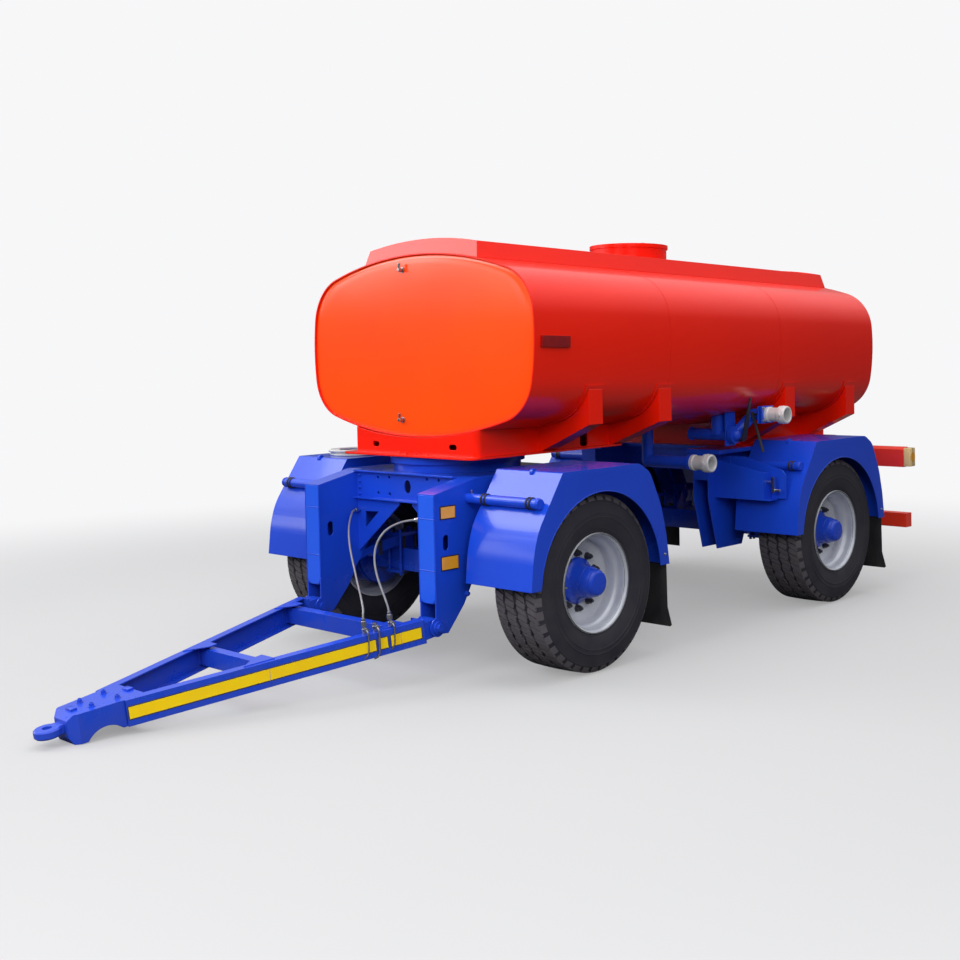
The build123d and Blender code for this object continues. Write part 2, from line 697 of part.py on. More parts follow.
with BuildPart() as manhole_neck:
    with BuildSketch(TANK_DECK.offset(TANK_RISE - 30)):
        with Locations((-MANHOLE_BACK, 0)):
            Circle(NECK_R)
            Circle(NECK_R - NECK_WALL, mode=Mode.SUBTRACT)
    extrude(amount=NECK_TOP - LID_T - TANK_RISE + 30)
    cut_tank_room()
    # Hinge ears behind the neck, drilled for the lid's pin: (depth, inner and outer reach)
    for low, high, inner, outer in (
        (-LID_T - 62, -LID_T - 8, NECK_R - 13, LID_HINGE + 16),
        (-LID_T - 20, 0, LID_R + 6, LID_HINGE + 16),
    ):
        ear_mid = -MANHOLE_BACK - (inner + outer) / 2
        with BuildSketch(TANK_DECK.offset(NECK_TOP + low)):
            with Locations((ear_mid, 70), (ear_mid, -70)):
                Rectangle(outer - inner, EAR_W)
        extrude(amount=high - low)
    hinge_from = on_deck(MANHOLE_BACK + LID_HINGE, -90, NECK_TOP - LID_T / 2)
    hinge_to = on_deck(MANHOLE_BACK + LID_HINGE, 90, NECK_TOP - LID_T / 2)
    rod(hinge_from, hinge_to, LID_PIN_R + PIN_FIT, mode=Mode.SUBTRACT)
keep(manhole_neck, "manhole_neck")

with BuildPart() as manhole_lid:
    with BuildSketch(TANK_DECK.offset(NECK_TOP - LID_T + SEAT_GAP)):
        with Locations((-MANHOLE_BACK, 0)):
            Circle(LID_R)
        with Locations((-MANHOLE_BACK - LID_HINGE + 16, 0)):
            Rectangle(60, 110)
    extrude(amount=LID_T - SEAT_GAP)
    hinge_from = on_deck(MANHOLE_BACK + LID_HINGE, -82, NECK_TOP - LID_T / 2)
    hinge_to = on_deck(MANHOLE_BACK + LID_HINGE, 82, NECK_TOP - LID_T / 2)
    rod(hinge_from, hinge_to, LID_PIN_R)
keep(manhole_lid, "manhole_lid")

with BuildPart() as tank_coaming:
    # Plan of the coaming's wall: (distance back, half width)
    ends = [(COAMING_FRONT, COAMING_FRONT_Y), (COAMING_BACK, COAMING_BACK_Y)]
    plan = [(-back, half) for back, half in ends] + [(-back, -half) for back, half in reversed(ends)]
    foot_height = TANK_RISE - 90
    with BuildSketch(TANK_DECK.offset(foot_height)):
        Polygon(*plan)
    extrude(amount=90 + COAMING_H, taper=COAMING_LEAN)
    with BuildSketch(TANK_DECK.offset(foot_height)):
        Polygon(*plan)
        offset(amount=-COAMING_WALL, kind=Kind.INTERSECTION, mode=Mode.REPLACE)
    extrude(amount=90 + COAMING_H, taper=COAMING_LEAN, mode=Mode.SUBTRACT)
    with BuildSketch(TANK.offset(60)):
        draw_tank_section(COAMING_H)
    extrude(amount=-(TANK_LENGTH + 120), mode=Mode.INTERSECT)
    cut_tank_room(ahead=60)
keep(tank_coaming, "tank_coaming")

# Cradles: a flange plate, a skirt wall up to the tank's belly and saddle brackets
SADDLE_W = 130.0
# Half of a saddle's outline up the tank's side: (y, height above the flange's bottom)
SADDLE_TOP = 410.0
SADDLE_KNEE = 190.0


def saddle(x_mid, flange_bottom, drop):
    """Adds one saddle bracket on the left, its top lowered by the tank's fall."""
    top = flange_bottom + SADDLE_TOP - drop
    knee = flange_bottom + SADDLE_KNEE - drop
    outline = [
        (1003, top),
        (1003, knee),
        (600, flange_bottom + FLANGE_T),
        (520, flange_bottom + FLANGE_T),
        (520, top),
    ]
    plate_x(outline, x_mid - SADDLE_W / 2, x_mid + SADDLE_W / 2)


with BuildPart() as front_saddles:
    for saddle_x, drop in ((-220, 0), (-920, 17)):
        saddle(FRONT_X + saddle_x, RING_TOP, drop)
    cut_tank_room(DOUBLER_T + 2 * SEAT_GAP)

with BuildPart() as front_cradle:
    with BuildSketch(Plane.XY.offset(RING_TOP)):
        with BuildLine():
            FilletPolyline(
                (FRONT_X - 985, -615),
                (FRONT_X + 470, -615),
                (FRONT_X + 470, 615),
                (FRONT_X - 985, 615),
                radius=[420, 420, 60, 60],
                close=True,
            )
        make_face()
    extrude(amount=FLANGE_T)
    with BuildSketch(Plane.XY.offset(RING_TOP)) as skirt:
        with BuildLine():
            FilletPolyline(
                (FRONT_X - 945, -575),
                (FRONT_X + 385, -575),
                (FRONT_X + 385, 575),
                (FRONT_X - 945, 575),
                radius=[370, 370, 40, 40],
                close=True,
            )
        make_face()
        offset(amount=-CRADLE_WALL, mode=Mode.SUBTRACT)
    extrude(amount=260)
    # Oval holes in the rounded corners: bearing from the corner's centre
    for bearing in (23, 49):
        turn = radians(bearing)
        aim = (cos(turn), sin(turn), 0)
        centre = (FRONT_X + 15, 205, RING_TOP + 66)
        with BuildSketch(Plane(origin=centre, x_dir=(-aim[1], aim[0], 0), z_dir=aim)) as oval:
            SlotOverall(62, 34)
        extrude(oval.sketch, amount=420, mode=Mode.SUBTRACT)
    # Access hole with rounded corners in the side wall
    with BuildSketch(Plane.XZ.offset(-600)) as access:
        with Locations((FRONT_X - 600, RING_TOP + 62)):
            RectangleRounded(76, 92, 20)
    extrude(access.sketch, amount=60, mode=Mode.SUBTRACT)
    cut_tank_room(ahead=140)
    add(front_saddles.part)
    with BuildSketch(Plane.XZ) as right_half:
        Rectangle(12000, 12000)
    extrude(right_half.sketch, amount=3000, mode=Mode.SUBTRACT)
    mirror(about=Plane.XZ)
keep(front_cradle, "front_cradle")

with BuildPart() as rear_saddles:
    for saddle_x, drop in ((-2430, -35), (-3300, -12)):
        saddle(FRONT_X + saddle_x, RAIL_TOP, drop)
    cut_tank_room(DOUBLER_T + 2 * SEAT_GAP)

with BuildPart() as rear_cradle:
    x_back, x_front = FRONT_X - 3620, FRONT_X - 2345
    plate_z([(x_back, 0), (x_back, 690), (x_front, 640), (x_front, 0)], RAIL_TOP, RAIL_TOP + FLANGE_T)
    plate_z([(x_back + 40, 0), (x_back + 40, 600), (x_front, 600), (x_front, 0)], RAIL_TOP, RAIL_TOP + 330)
    plate_z(
        [(x_back + 50, -10), (x_back + 50, 590), (x_front - 10, 590), (x_front - 10, -10)],
        RAIL_TOP + FLANGE_T,
        RAIL_TOP + 340,
        mode=Mode.SUBTRACT,
    )
    cut_tank_room(ahead=140)
    add(rear_saddles.part)
    mirror(about=Plane.XZ)
keep(rear_cradle, "rear_cradle")

# Arch-topped doubler plates on the tank, above each saddle: distance back along the tank
with BuildPart() as saddle_doublers:
    for back in (568, 1268, 2778, 3648):
        with BuildSketch(TANK.offset(-back + 85)) as strip:
            draw_tank_section(DOUBLER_T + SEAT_GAP)
            with BuildSketch(mode=Mode.SUBTRACT):
                draw_tank_section(SEAT_GAP)
            with Locations((845, -400)):
                Rectangle(490, 300, mode=Mode.INTERSECT)
        extrude(strip.sketch, amount=-170)
    mirror(about=Plane.XZ)
keep(saddle_doublers, "saddle_doublers")

# Rear axle frame: rails with spring hangers under the rear cradle
REAR_CHEEK = [
    (815, RAIL_TOP - 30),
    (815, 810),
    (715, 440),
    (400, 440),
    (330, 600),
    (210, RAIL_BOTTOM),
    (-300, RAIL_BOTTOM),
    (-470, 560),
    (-500, 440),
    (-690, 440),
    (-750, 600),
    (-885, RAIL_BOTTOM),
    (-885, RAIL_TOP - 30),
]
REAR_RAIL = [(815, RAIL_BOTTOM), (815, RAIL_TOP - 30), (-885, RAIL_TOP - 30), (-885, RAIL_BOTTOM)]
with BuildPart() as rear_frame:
    for y_low in (RAIL_IN_Y, RAIL_OUT_Y - CHEEK):
        plate_y([(REAR_X + x, z) for x, z in REAR_CHEEK], y_low, y_low + CHEEK)
    plate_y([(REAR_X + x, z) for x, z in REAR_RAIL], RAIL_IN_Y, RAIL_OUT_Y)
    block((REAR_X - 900, REAR_X + 815), (RAIL_IN_Y - 60, 700), (RAIL_TOP - 30, RAIL_TOP))
    mirror(about=Plane.XZ)
    for web_x in (450, -450, -870):
        face = REAR_X + web_x
        block((face, face + WEB_T), (-RAIL_IN_Y, RAIL_IN_Y), (WEB_BOTTOM, RAIL_TOP - 30))
        for z_low in (WEB_BOTTOM, RAIL_TOP - 30):
            z_high = z_low + (WEB_T if z_low == WEB_BOTTOM else 30)
            block((face, face + 60), (-RAIL_IN_Y, RAIL_IN_Y), (z_low, z_high))
keep(rear_frame, "rear_frame")

# Tail: a cross bar with the lamps and an underrun bar below it
bar_front = FRONT_X - LIGHT_BAR_X
rail_end = REAR_X - 885
with BuildPart() as light_bar:
    section = [
        (bar_front, 930),
        (bar_front, 1070),
        (bar_front - 18, 1090),
        (bar_front - LIGHT_BAR_DEEP + 14, 1090),
        (bar_front - LIGHT_BAR_DEEP, 1076),
        (bar_front - LIGHT_BAR_DEEP, 930),
    ]
    plate_y(section, -BAR_HALF, BAR_HALF)
    for side in (1, -1):
        low, high = sorted((side * (RAIL_IN_Y + 10), side * (RAIL_OUT_Y - 10)))
        block((bar_front, rail_end), (low, high), (RAIL_BOTTOM + 4, 1062))
keep(light_bar, "light_bar")

under_front = FRONT_X - UNDERRUN_X
under_back = FRONT_X - TAIL_REACH
with BuildPart() as underrun_bar:
    block((under_back, under_front), (-BAR_HALF - 8, BAR_HALF + 8), (444, 556))
    arm = [
        (rail_end + 90, RAIL_BOTTOM),
        (rail_end - 2, RAIL_BOTTOM),
        (under_front - 30, 556),
        (under_front - 30, 470),
        (under_front + 12, 470),
        (under_front + 50, 560),
    ]
    plate_y(arm, RAIL_IN_Y + 24, RAIL_IN_Y + 36)
    plate_y(arm, RAIL_OUT_Y - 36, RAIL_OUT_Y - 24)
    plate_y(arm, -RAIL_IN_Y - 36, -RAIL_IN_Y - 24)
    plate_y(arm, -RAIL_OUT_Y + 24, -RAIL_OUT_Y + 36)
keep(underrun_bar, "underrun_bar")

lamp_back = bar_front - LIGHT_BAR_DEEP
with BuildPart() as tail_lamps:
    for number in (2, 1, 0):
        y_high = BAR_HALF - LAMP_MARGIN - number * (LAMP_WIDE + LAMP_GAP)
        block((lamp_back - LAMP_DEEP, lamp_back), (y_high - LAMP_WIDE, y_high), (950, 1070))
    mirror(about=Plane.XZ)
keep(tail_lamps, "tail_lamps")

with BuildPart() as end_lamps:
    lamp_x = bar_front - LIGHT_BAR_DEEP / 2
    stem_end = BAR_HALF + END_LAMP_STEM
    rod((lamp_x, BAR_HALF, 1012), (lamp_x, stem_end, 1012), 22)
    rod((lamp_x, stem_end, 1012), (lamp_x, OVERALL_HALF, 1012), 38)
    mirror(about=Plane.XZ)
keep(end_lamps, "end_lamps")

# Discharge piping on the left, between the cradles: a manifold under the tank with two valves
PIPE_R = 42.0
MANIFOLD_X = FRONT_X - 1950
MANIFOLD_Z = 1290.0
MANIFOLD_IN_Y = 460.0
VALVE_Y = 850.0
OUTLET_X = FRONT_X - 2150
OUTLET_Z = 1430.0
OUTLET_Y = 990.0
LOW_X = FRONT_X - 1590
LOW_Z = 1115.0
LOW_Y = 730.0
BALL_R = 73.0
OUTLET_BORE = 46.0
with BuildPart() as discharge_pipes:
    rod((MANIFOLD_X, MANIFOLD_IN_Y, MANIFOLD_Z), (MANIFOLD_X, VALVE_Y, MANIFOLD_Z), PIPE_R)
    rod((MANIFOLD_X, MANIFOLD_IN_Y, MANIFOLD_Z), (MANIFOLD_X, MANIFOLD_IN_Y + 12, MANIFOLD_Z), PIPE_R + 8)
    rod((MANIFOLD_X, 700, MANIFOLD_Z), (MANIFOLD_X, 700, MANIFOLD_Z + 240), PIPE_R + 12)
    block(
        (MANIFOLD_X - 58, MANIFOLD_X + 58), (792, 804), (MANIFOLD_Z - 78, MANIFOLD_Z + 240)
    )
    rod((MANIFOLD_X, 812, MANIFOLD_Z), (MANIFOLD_X, VALVE_Y, MANIFOLD_Z), PIPE_R + 20)
    rod((MANIFOLD_X, VALVE_Y - 15, MANIFOLD_Z), (OUTLET_X, 868, OUTLET_Z), PIPE_R)
    with Locations((OUTLET_X, 868, OUTLET_Z), (MANIFOLD_X, VALVE_Y - 2, MANIFOLD_Z)):
        Sphere(PIPE_R)
    rod((OUTLET_X, 868, OUTLET_Z), (OUTLET_X, OUTLET_Y, OUTLET_Z), PIPE_R)
    for plate_back in (40, 14):
        block(
            (OUTLET_X - 75, OUTLET_X + 75),
            (OUTLET_Y - plate_back, OUTLET_Y - plate_back + 14),
            (OUTLET_Z - 62, OUTLET_Z + 62),
        )
    rod((LOW_X, 330, LOW_Z), (LOW_X, LOW_Y, LOW_Z), PIPE_R)
    with Locations((LOW_X, 330, LOW_Z)):
        Sphere(PIPE_R)
    rod((LOW_X, 330, LOW_Z), (LOW_X, 330, 1480), PIPE_R)
    rod((LOW_X, LOW_Y - 30, LOW_Z), (LOW_X, LOW_Y, LOW_Z), PIPE_R + 16)
    cut_tank_room()
keep(discharge_pipes, "discharge_pipes")

# Ball of each hose coupling: (outwards from its flange, radius)
BALL_SECTION = [
    (0, PIPE_R + 14),
    (26, PIPE_R + 14),
    (34, PIPE_R + 22),
    (62, BALL_R - 6),
    (84, BALL_R),
    (112, BALL_R),
    (134, BALL_R - 7),
    (150, BALL_R - 18),
    (190, BALL_R - 20),
    (190, OUTLET_BORE),
    (60, OUTLET_BORE),
    (60, 0),
    (0, 0),
]
# Node, centre and face of each outlet
OUTLETS = [
    ("upper_outlet_coupling", OUTLET_X, OUTLET_Y, OUTLET_Z),
    ("lower_outlet_coupling", LOW_X, LOW_Y, LOW_Z),
]
for name, outlet_x, outlet_y, outlet_z in OUTLETS:
    with BuildPart() as coupling:
        with BuildSketch(Plane.YZ.offset(outlet_x)):
            Polygon(*[(outlet_y + out, outlet_z + radius) for out, radius in BALL_SECTION])
        revolve(axis=Axis((outlet_x, 0, outlet_z), (0, 1, 0)), revolution_arc=360)
    keep(coupling, name)

# Hand levers of the two valves: foot, tip, half widths at the foot, the knee and the tip
LEVERS = [
    ((-1990, 890, 1250), (-1932, 988, 1560), (26, 24, 8)),
    ((-2060, 915, 1452), (-2062, 1003, 1167), (13, 12, 12)),
]
# Pivots that carry them, from the pipe's surface: (start, end)
PIVOTS = [
    ((-1990, VALVE_Y, 1250), (-1990, 890, 1250)),
    ((-2150 + PIPE_R + SEAT_GAP, 916, 1432), (-2056, 916, 1432)),
]
with BuildPart() as valve_levers:
    for foot, tip, (foot_w, knee_w, tip_w) in LEVERS:
        start = Vector(FRONT_X + foot[0], foot[1], foot[2])
        along = Vector(FRONT_X + tip[0], tip[1], tip[2]) - start
        flat = Vector(1, 0, 0).cross(along)
        with BuildSketch(Plane(origin=start, x_dir=along, z_dir=flat)) as lever:
            Polygon(
                (0, -foot_w),
                (along.length * 0.45, -knee_w),
                (along.length, -tip_w),
                (along.length, tip_w),
                (along.length * 0.45, knee_w),
                (0, foot_w),
            )
        extrude(lever.sketch, amount=4, both=True)
    for start, end in PIVOTS:
        rod((FRONT_X + start[0], start[1], start[2]), (FRONT_X + end[0], end[1], end[2]), 10)
keep(valve_levers, "valve_levers")

# Parking brake: a bracket on the left rail with a screw spindle and a folding crank
PARK_X = REAR_X + 630
with BuildPart() as parking_brake_bracket:
    back_plate = [(RAIL_OUT_Y, 1120), (800, 1120), (1110, 1036), (1140, 1000), (1140, 830), (RAIL_OUT_Y, 830)]
    plate_x(back_plate, PARK_X - 10, PARK_X)
    front_plate = [(RAIL_OUT_Y, 1096), (670, 1090), (1022, 1020), (1022, 830), (RAIL_OUT_Y, 830)]
    plate_x(front_plate, PARK_X + 95, PARK_X + 105)
    block((PARK_X - 10, PARK_X + 105), (RAIL_OUT_Y, 1070), (820, 830))
    block((PARK_X, PARK_X + 95), (1012, 1022), (830, 1022))
    rod((PARK_X + 50, 1000, 950), (PARK_X + 50, 1040, 950), 14, mode=Mode.SUBTRACT)
keep(parking_brake_bracket, "parking_brake_bracket")

with BuildPart() as parking_brake_spindle:
    rod((PARK_X + 50, RAIL_OUT_Y, 950), (PARK_X + 50, 1062, 950), 12)
    rod((PARK_X + 50, 760, 950), (PARK_X + 50, 800, 950), 24)
    block((PARK_X + 34, PARK_X + 66), (1062, 1084), (876, 990))
    rod((PARK_X + 50, 1084, 892), (PARK_X + 50, 1128, 892), 11)
keep(parking_brake_spindle, "parking_brake_spindle")

with BuildPart() as air_canister:
    can_x, can_y = REAR_X + 665, RAIL_IN_Y - 62
    rod((can_x, can_y, 740), (can_x, can_y, 850), 48)
    rod((can_x, can_y, 850), (can_x, can_y, 872), 40)
    block((can_x - 20, can_x + 20), (can_y, RAIL_IN_Y), (800, 812))
keep(air_canister, "air_canister")

# Small fittings on the tank
with BuildPart() as side_reflectors:
    with BuildSketch(TANK.offset(-52)) as strip:
        draw_tank_section(16)
        with BuildSketch(mode=Mode.SUBTRACT):
            draw_tank_section(SEAT_GAP)
        with Locations((TANK_HALF_W, 10)):
            Rectangle(200, 66, mode=Mode.INTERSECT)
    extrude(strip.sketch, amount=-247)
    mirror(about=Plane.XZ)
keep(side_reflectors, "side_reflectors")

with BuildPart() as gauge_taps:
    for height in (486, -471):
        base = TANK.from_local_coords((-123, height, -TANK_RIM))
        tip = TANK.from_local_coords((-123, height, 34))
        rod(base, tip, 11)
        low = TANK.from_local_coords((-123, height - 8, 26))
        high = TANK.from_local_coords((-123, height + 42, 26))
        rod(low, high, 7)
keep(gauge_taps, "gauge_taps")

# Drawbar: two tapering channels, cross-members and a head that rests on the ground
half_depth = BAR_DEPTH / 2
GUSSET_T = 6.0
with BuildPart() as drawbar_frame:
    # Head, cut to its side view: flat top and an arch between two feet
    with BuildSketch(BAR_SIDE.offset(-150)) as profile:
        with BuildLine():
            Polyline(
                (HEAD_START, -half_depth),
                (HEAD_START, half_depth),
                (HEAD_END - 30, half_depth),
                (HEAD_END, half_depth - 30),
                (HEAD_END, -48),
                (FOOT_AT, -FOOT_DROP),
                (FOOT_AT - 60, -FOOT_DROP),
            )
            ThreePointArc((FOOT_AT - 60, -FOOT_DROP), (FOOT_AT - 150, -34), (1780, -half_depth))
            Line((1780, -half_depth), (HEAD_START, -half_depth))
        make_face()
    extrude(profile.sketch, amount=300)
    with BuildSketch(BAR.offset(-FOOT_DROP - 1)) as plan:
        Polygon(
            (HEAD_START, -120),
            (1760, -136),
            (2000, -104),
            (HEAD_END, -64),
            (HEAD_END, 64),
            (2000, 104),
            (1760, 136),
            (HEAD_START, 120),
        )
    extrude(plan.sketch, amount=BAR_DEPTH + 40, mode=Mode.INTERSECT)
    for side in (1, -1):
        for low, high, wide in (
            (-half_depth, -half_depth + BAR_PLATE, BAR_WIDTH),
            (half_depth - BAR_PLATE, half_depth, BAR_WIDTH),
            (-half_depth, half_depth, BAR_PLATE),
        ):
            with BuildSketch(BAR.offset(low)) as strip:
                Polygon(
                    (BAR_START, side * BAR_START_Y),
                    (BAR_END, side * bar_edge(BAR_END)),
                    (BAR_END, side * (bar_edge(BAR_END) - wide)),
                    (BAR_START, side * (BAR_START_Y - wide)),
                )
            extrude(strip.sketch, amount=high - low)
        # Hinge eye between the cheeks, with the plate that joins it to the channel
        eye_low = RAIL_IN_Y + CHEEK + 6
        eye_high = RAIL_OUT_Y - CHEEK - 6
        sheet_y = eye_high if side > 0 else -eye_low
        with BuildSketch(BAR_SIDE.offset(-sheet_y)) as eye:
            Circle(52)
            with Locations((BAR_START / 2 + 4, 0)):
                Rectangle(BAR_START + 8, 104)
        extrude(eye.sketch, amount=eye_high - eye_low)
        with BuildSketch(BAR.offset(-half_depth)) as end_plate:
            with Locations((BAR_START + 5, side * (BAR_START_Y + eye_low) / 2)):
                Rectangle(10, BAR_START_Y - eye_low)
        extrude(end_plate.sketch, amount=BAR_DEPTH)
        # Gusset plates on top, at the two cross-members: (along, reach along, reach inwards)
        for along, reach, inwards in ((212, 130, 120), (985, 150, 120)):
            edge = bar_edge(along) - 20
            with BuildSketch(BAR.offset(half_depth)) as gusset:
                Polygon(
                    (along - 26, side * edge),
                    (along + reach, side * (bar_edge(along + reach) - 20)),
                    (along + 26, side * (edge - inwards)),
                    (along - 26, side * (edge - inwards)),
                )
            extrude(gusset.sketch, amount=GUSSET_T)
    for along in (212, 985):
        with BuildSketch(BAR.offset(-52)) as cross:
            with Locations((along, 0)):
                Rectangle(54, 2 * bar_edge(along) - 10)
        extrude(cross.sketch, amount=104)
    hinge_room = BAR_SIDE.offset(-700)
    with BuildSketch(hinge_room) as hinge_bore:
        Circle(HINGE_PIN_R + PIN_FIT)
    extrude(hinge_bore.sketch, amount=1400, mode=Mode.SUBTRACT)
keep(drawbar_frame, "drawbar_frame")

with BuildPart() as towing_eye:
    with BuildSketch(BAR.offset(-TOW_EYE_T / 2)):
        with Locations((TOW_EYE_AT, 0)):
            Circle(TOW_EYE_R)
        with Locations(((HEAD_END + TOW_EYE_AT) / 2, 0)):
            Rectangle(TOW_EYE_AT - HEAD_END, 76)
        with Locations((TOW_EYE_AT, 0)):
            Circle(TOW_EYE_HOLE_R, mode=Mode.SUBTRACT)
    extrude(amount=TOW_EYE_T)
    rims = edges().filter_by(GeomType.CIRCLE).filter_by(lambda edge: edge.radius > TOW_EYE_R - 1)
    chamfer(rims, length=TOW_EYE_CHAMFER)
keep(towing_eye, "towing_eye")

# Brake line unions on the left beam, near the hinge: (along, height of their seat); one
# stands on the gusset plate
UNION_H = 52.0
UNION_IN = 34.0
UNIONS = [(430, 0), (270, GUSSET_T), (364, 0)]
with BuildPart() as line_unions:
    for along, seat in UNIONS:
        y = bar_edge(along) - UNION_IN
        base = BAR.from_local_coords((along, y, half_depth + seat))
        top = BAR.from_local_coords((along, y, half_depth + UNION_H))
        rod(base, top, 13)
        low = BAR.from_local_coords((along, y, half_depth + 18))
        high = BAR.from_local_coords((along, y, half_depth + 34))
        rod(low, high, 17)
keep(line_unions, "line_unions")

# Brake hoses from the unions up to the bogie frame: points ahead of the front axle
HOSE_R = 6.5
SUPPLY_ROUTE = [
    (1186, 438, 478),
    (1124, 340, 538),
    (1046, 218, 590),
    (960, 88, 650),
    (875, -44, 712),
    (785, -170, 775),
    (700, -275, 828),
    (622, -358, 869),
    (556, -417, 898),
    (519, -452, 912),
]
SERVICE_ROUTE = [
    (1050, 486, 492),
    (1034, 420, 572),
    (1012, 350, 650),
    (985, 302, 738),
    (950, 290, 820),
    (905, 312, 884),
    (850, 335, 915),
    (790, 362, 931),
    (745, 398, 937),
]


def hose(name, start, route, end):
    """Makes one hose of straight runs and tangent arcs, and prints its radii and volume."""
    points = start + [Vector(FRONT_X + x, y, z) for x, y, z in route] + [end]
    radii = []
    for before, here, after in zip(points, points[1:], points[2:]):
        turn = radians((here - before).get_angle(after - here))
        shorter = min((here - before).length, (after - here).length)
        radii.append(0.45 * shorter / tan(turn / 2))
    with BuildPart() as tube:
        with BuildLine() as path:
            FilletPolyline(*points, radius=radii)
        with BuildSketch(Plane(origin=path.line @ 0, z_dir=path.line % 0)):
            Circle(HOSE_R)
        sweep(path=path.line)
    keep(tube, name)
    length = path.wires()[0].length
    area = tube.part.volume / length
    print(name, "length", round(length), "section", round(area, 1), "radii", [round(r) for r in radii])


def above_union(number, lift=0):
    """Gives the point on the drawbar where a union's hose leaves it, or one above it."""
    along, _ = UNIONS[number]
    return BAR.from_local_coords((along, bar_edge(along) - UNION_IN, half_depth + UNION_H + lift))


supply_end = Vector(FRONT_X + WEB_X + BULKHEAD, -452, 912)
service_end = Vector(FRONT_X + 745, RAIL_IN_Y - BULKHEAD, 937)
hose("supply_hose", [above_union(0), above_union(0, 42)], SUPPLY_ROUTE, supply_end)
hose("service_hose", [above_union(1), above_union(1, 42)], SERVICE_ROUTE, service_end)

# A hank of spare air hose lying on the right front fender
HANK_R = 198.0
HANK_BORE_R = 128.0
HANK_H = 44.0
with BuildPart() as hose_hank:
    with BuildSketch(Plane.XY.offset(FENDER_TOP)):
        with Locations((FRONT_X + 40, -985)):
            Circle(HANK_R)
            Circle(HANK_BORE_R, mode=Mode.SUBTRACT)
    extrude(amount=HANK_H)
    fillet(edges().group_by(Axis.Z)[-1], radius=20)
keep(hose_hank, "hose_hank")
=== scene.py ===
"""Looks of a two-axle water tank trailer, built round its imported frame.

Metres. +X points forward along the drawbar, +Y to the left side, +Z up.
"""

import json
import logging
from dataclasses import dataclass, field
from enum import Enum
from math import asin, atan, atan2, cos, hypot, pi, radians, sin, tau

import bmesh
import bpy
from bmesh.types import BMesh
from mathutils import Matrix, Vector

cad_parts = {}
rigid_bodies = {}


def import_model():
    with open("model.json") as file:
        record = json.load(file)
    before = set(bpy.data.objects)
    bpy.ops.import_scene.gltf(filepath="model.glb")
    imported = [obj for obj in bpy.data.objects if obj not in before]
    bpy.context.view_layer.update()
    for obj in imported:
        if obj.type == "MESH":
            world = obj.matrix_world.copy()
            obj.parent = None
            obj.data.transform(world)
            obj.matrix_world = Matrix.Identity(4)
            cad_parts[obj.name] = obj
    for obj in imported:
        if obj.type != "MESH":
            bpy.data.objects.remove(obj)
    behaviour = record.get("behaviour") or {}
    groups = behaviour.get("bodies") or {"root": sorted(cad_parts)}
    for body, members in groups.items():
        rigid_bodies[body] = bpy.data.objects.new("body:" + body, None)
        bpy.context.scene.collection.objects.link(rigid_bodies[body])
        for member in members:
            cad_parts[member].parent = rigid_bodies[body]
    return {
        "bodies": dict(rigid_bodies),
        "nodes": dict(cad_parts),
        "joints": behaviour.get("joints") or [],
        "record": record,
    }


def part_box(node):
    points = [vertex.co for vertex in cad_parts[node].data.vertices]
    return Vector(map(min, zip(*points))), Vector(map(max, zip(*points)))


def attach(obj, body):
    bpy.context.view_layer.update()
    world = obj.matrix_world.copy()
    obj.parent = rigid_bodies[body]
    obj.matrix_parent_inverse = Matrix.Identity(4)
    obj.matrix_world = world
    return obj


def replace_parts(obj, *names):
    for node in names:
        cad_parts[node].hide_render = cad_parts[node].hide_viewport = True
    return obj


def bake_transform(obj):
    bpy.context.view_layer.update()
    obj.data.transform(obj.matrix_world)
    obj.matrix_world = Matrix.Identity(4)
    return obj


LOG = logging.getLogger("tank_trailer")
Colour = tuple[float, float, float]
Point = tuple[float, float, float]

# Driving sizes shared by the sub-assemblies, as in the frame
RAIL_IN = 0.468
RAIL_OUT = 0.607
RAIL_TOP = 1.175
HINGE_AHEAD = 0.770
HINGE_Z = 0.325
TANK_AHEAD = 0.348
TANK_LENGTH = 3.970
TANK_MID_Z = 1.970
TANK_SLOPE = radians(1.375)
FOOT_AT = 2.025
FOOT_DROP = 0.085


class Slot(Enum):
    """The record's material slots, and the finishes that have none."""

    FRAME = "frame_blue"
    TANK = "tank_red"
    LAMP_BAR = "lamp_bar_red"
    RIM = "rim_silver"
    TYRE = "tyre_black"
    FLAP = "flap_black"
    CHASSIS = "chassis_black"
    STEEL = "bright_steel"
    ALLOY = "coupling_alloy"
    RED_LENS = "lens_red"
    AMBER_LENS = "lens_amber"
    HOSE = "hose_black"
    HANK = "hose_white"
    TANK_END_LIT = "tank_end"
    # Lit copy of the tank red: painted light on the end dishes
    TREAD = "tyre_tread"
    NUT = "nut_steel"
    TAPE = "tape"
    TAPE_EDGE = "tape_edge"
    # Lighter copy of the frame blue: painted light on the legs' front strips
    BAND_LIT = "band_blue"
    CREAM = "cream_lens"
    DARK = "dark"


class Nodes:
    """Small helper that adds nodes and links in one tree."""

    def __init__(self, tree: bpy.types.NodeTree) -> None:
        """Keeps the tree."""
        self.tree = tree

    def add(self, kind: str, inputs: dict[str | int, object] | None = None, **settings) -> bpy.types.Node:
        """Adds a node.

        Args:
            kind: The node's type name.
            inputs: Values, or output sockets to link from, by input name or number.
            settings: Attributes of the node.

        Returns:
            The new node.
        """
        node = self.tree.nodes.new(kind)
        for name, value in settings.items():
            setattr(node, name, value)
        for name, value in (inputs or {}).items():
            if isinstance(value, bpy.types.NodeSocket):
                self.tree.links.new(value, node.inputs[name])
            else:
                node.inputs[name].default_value = value
        return node


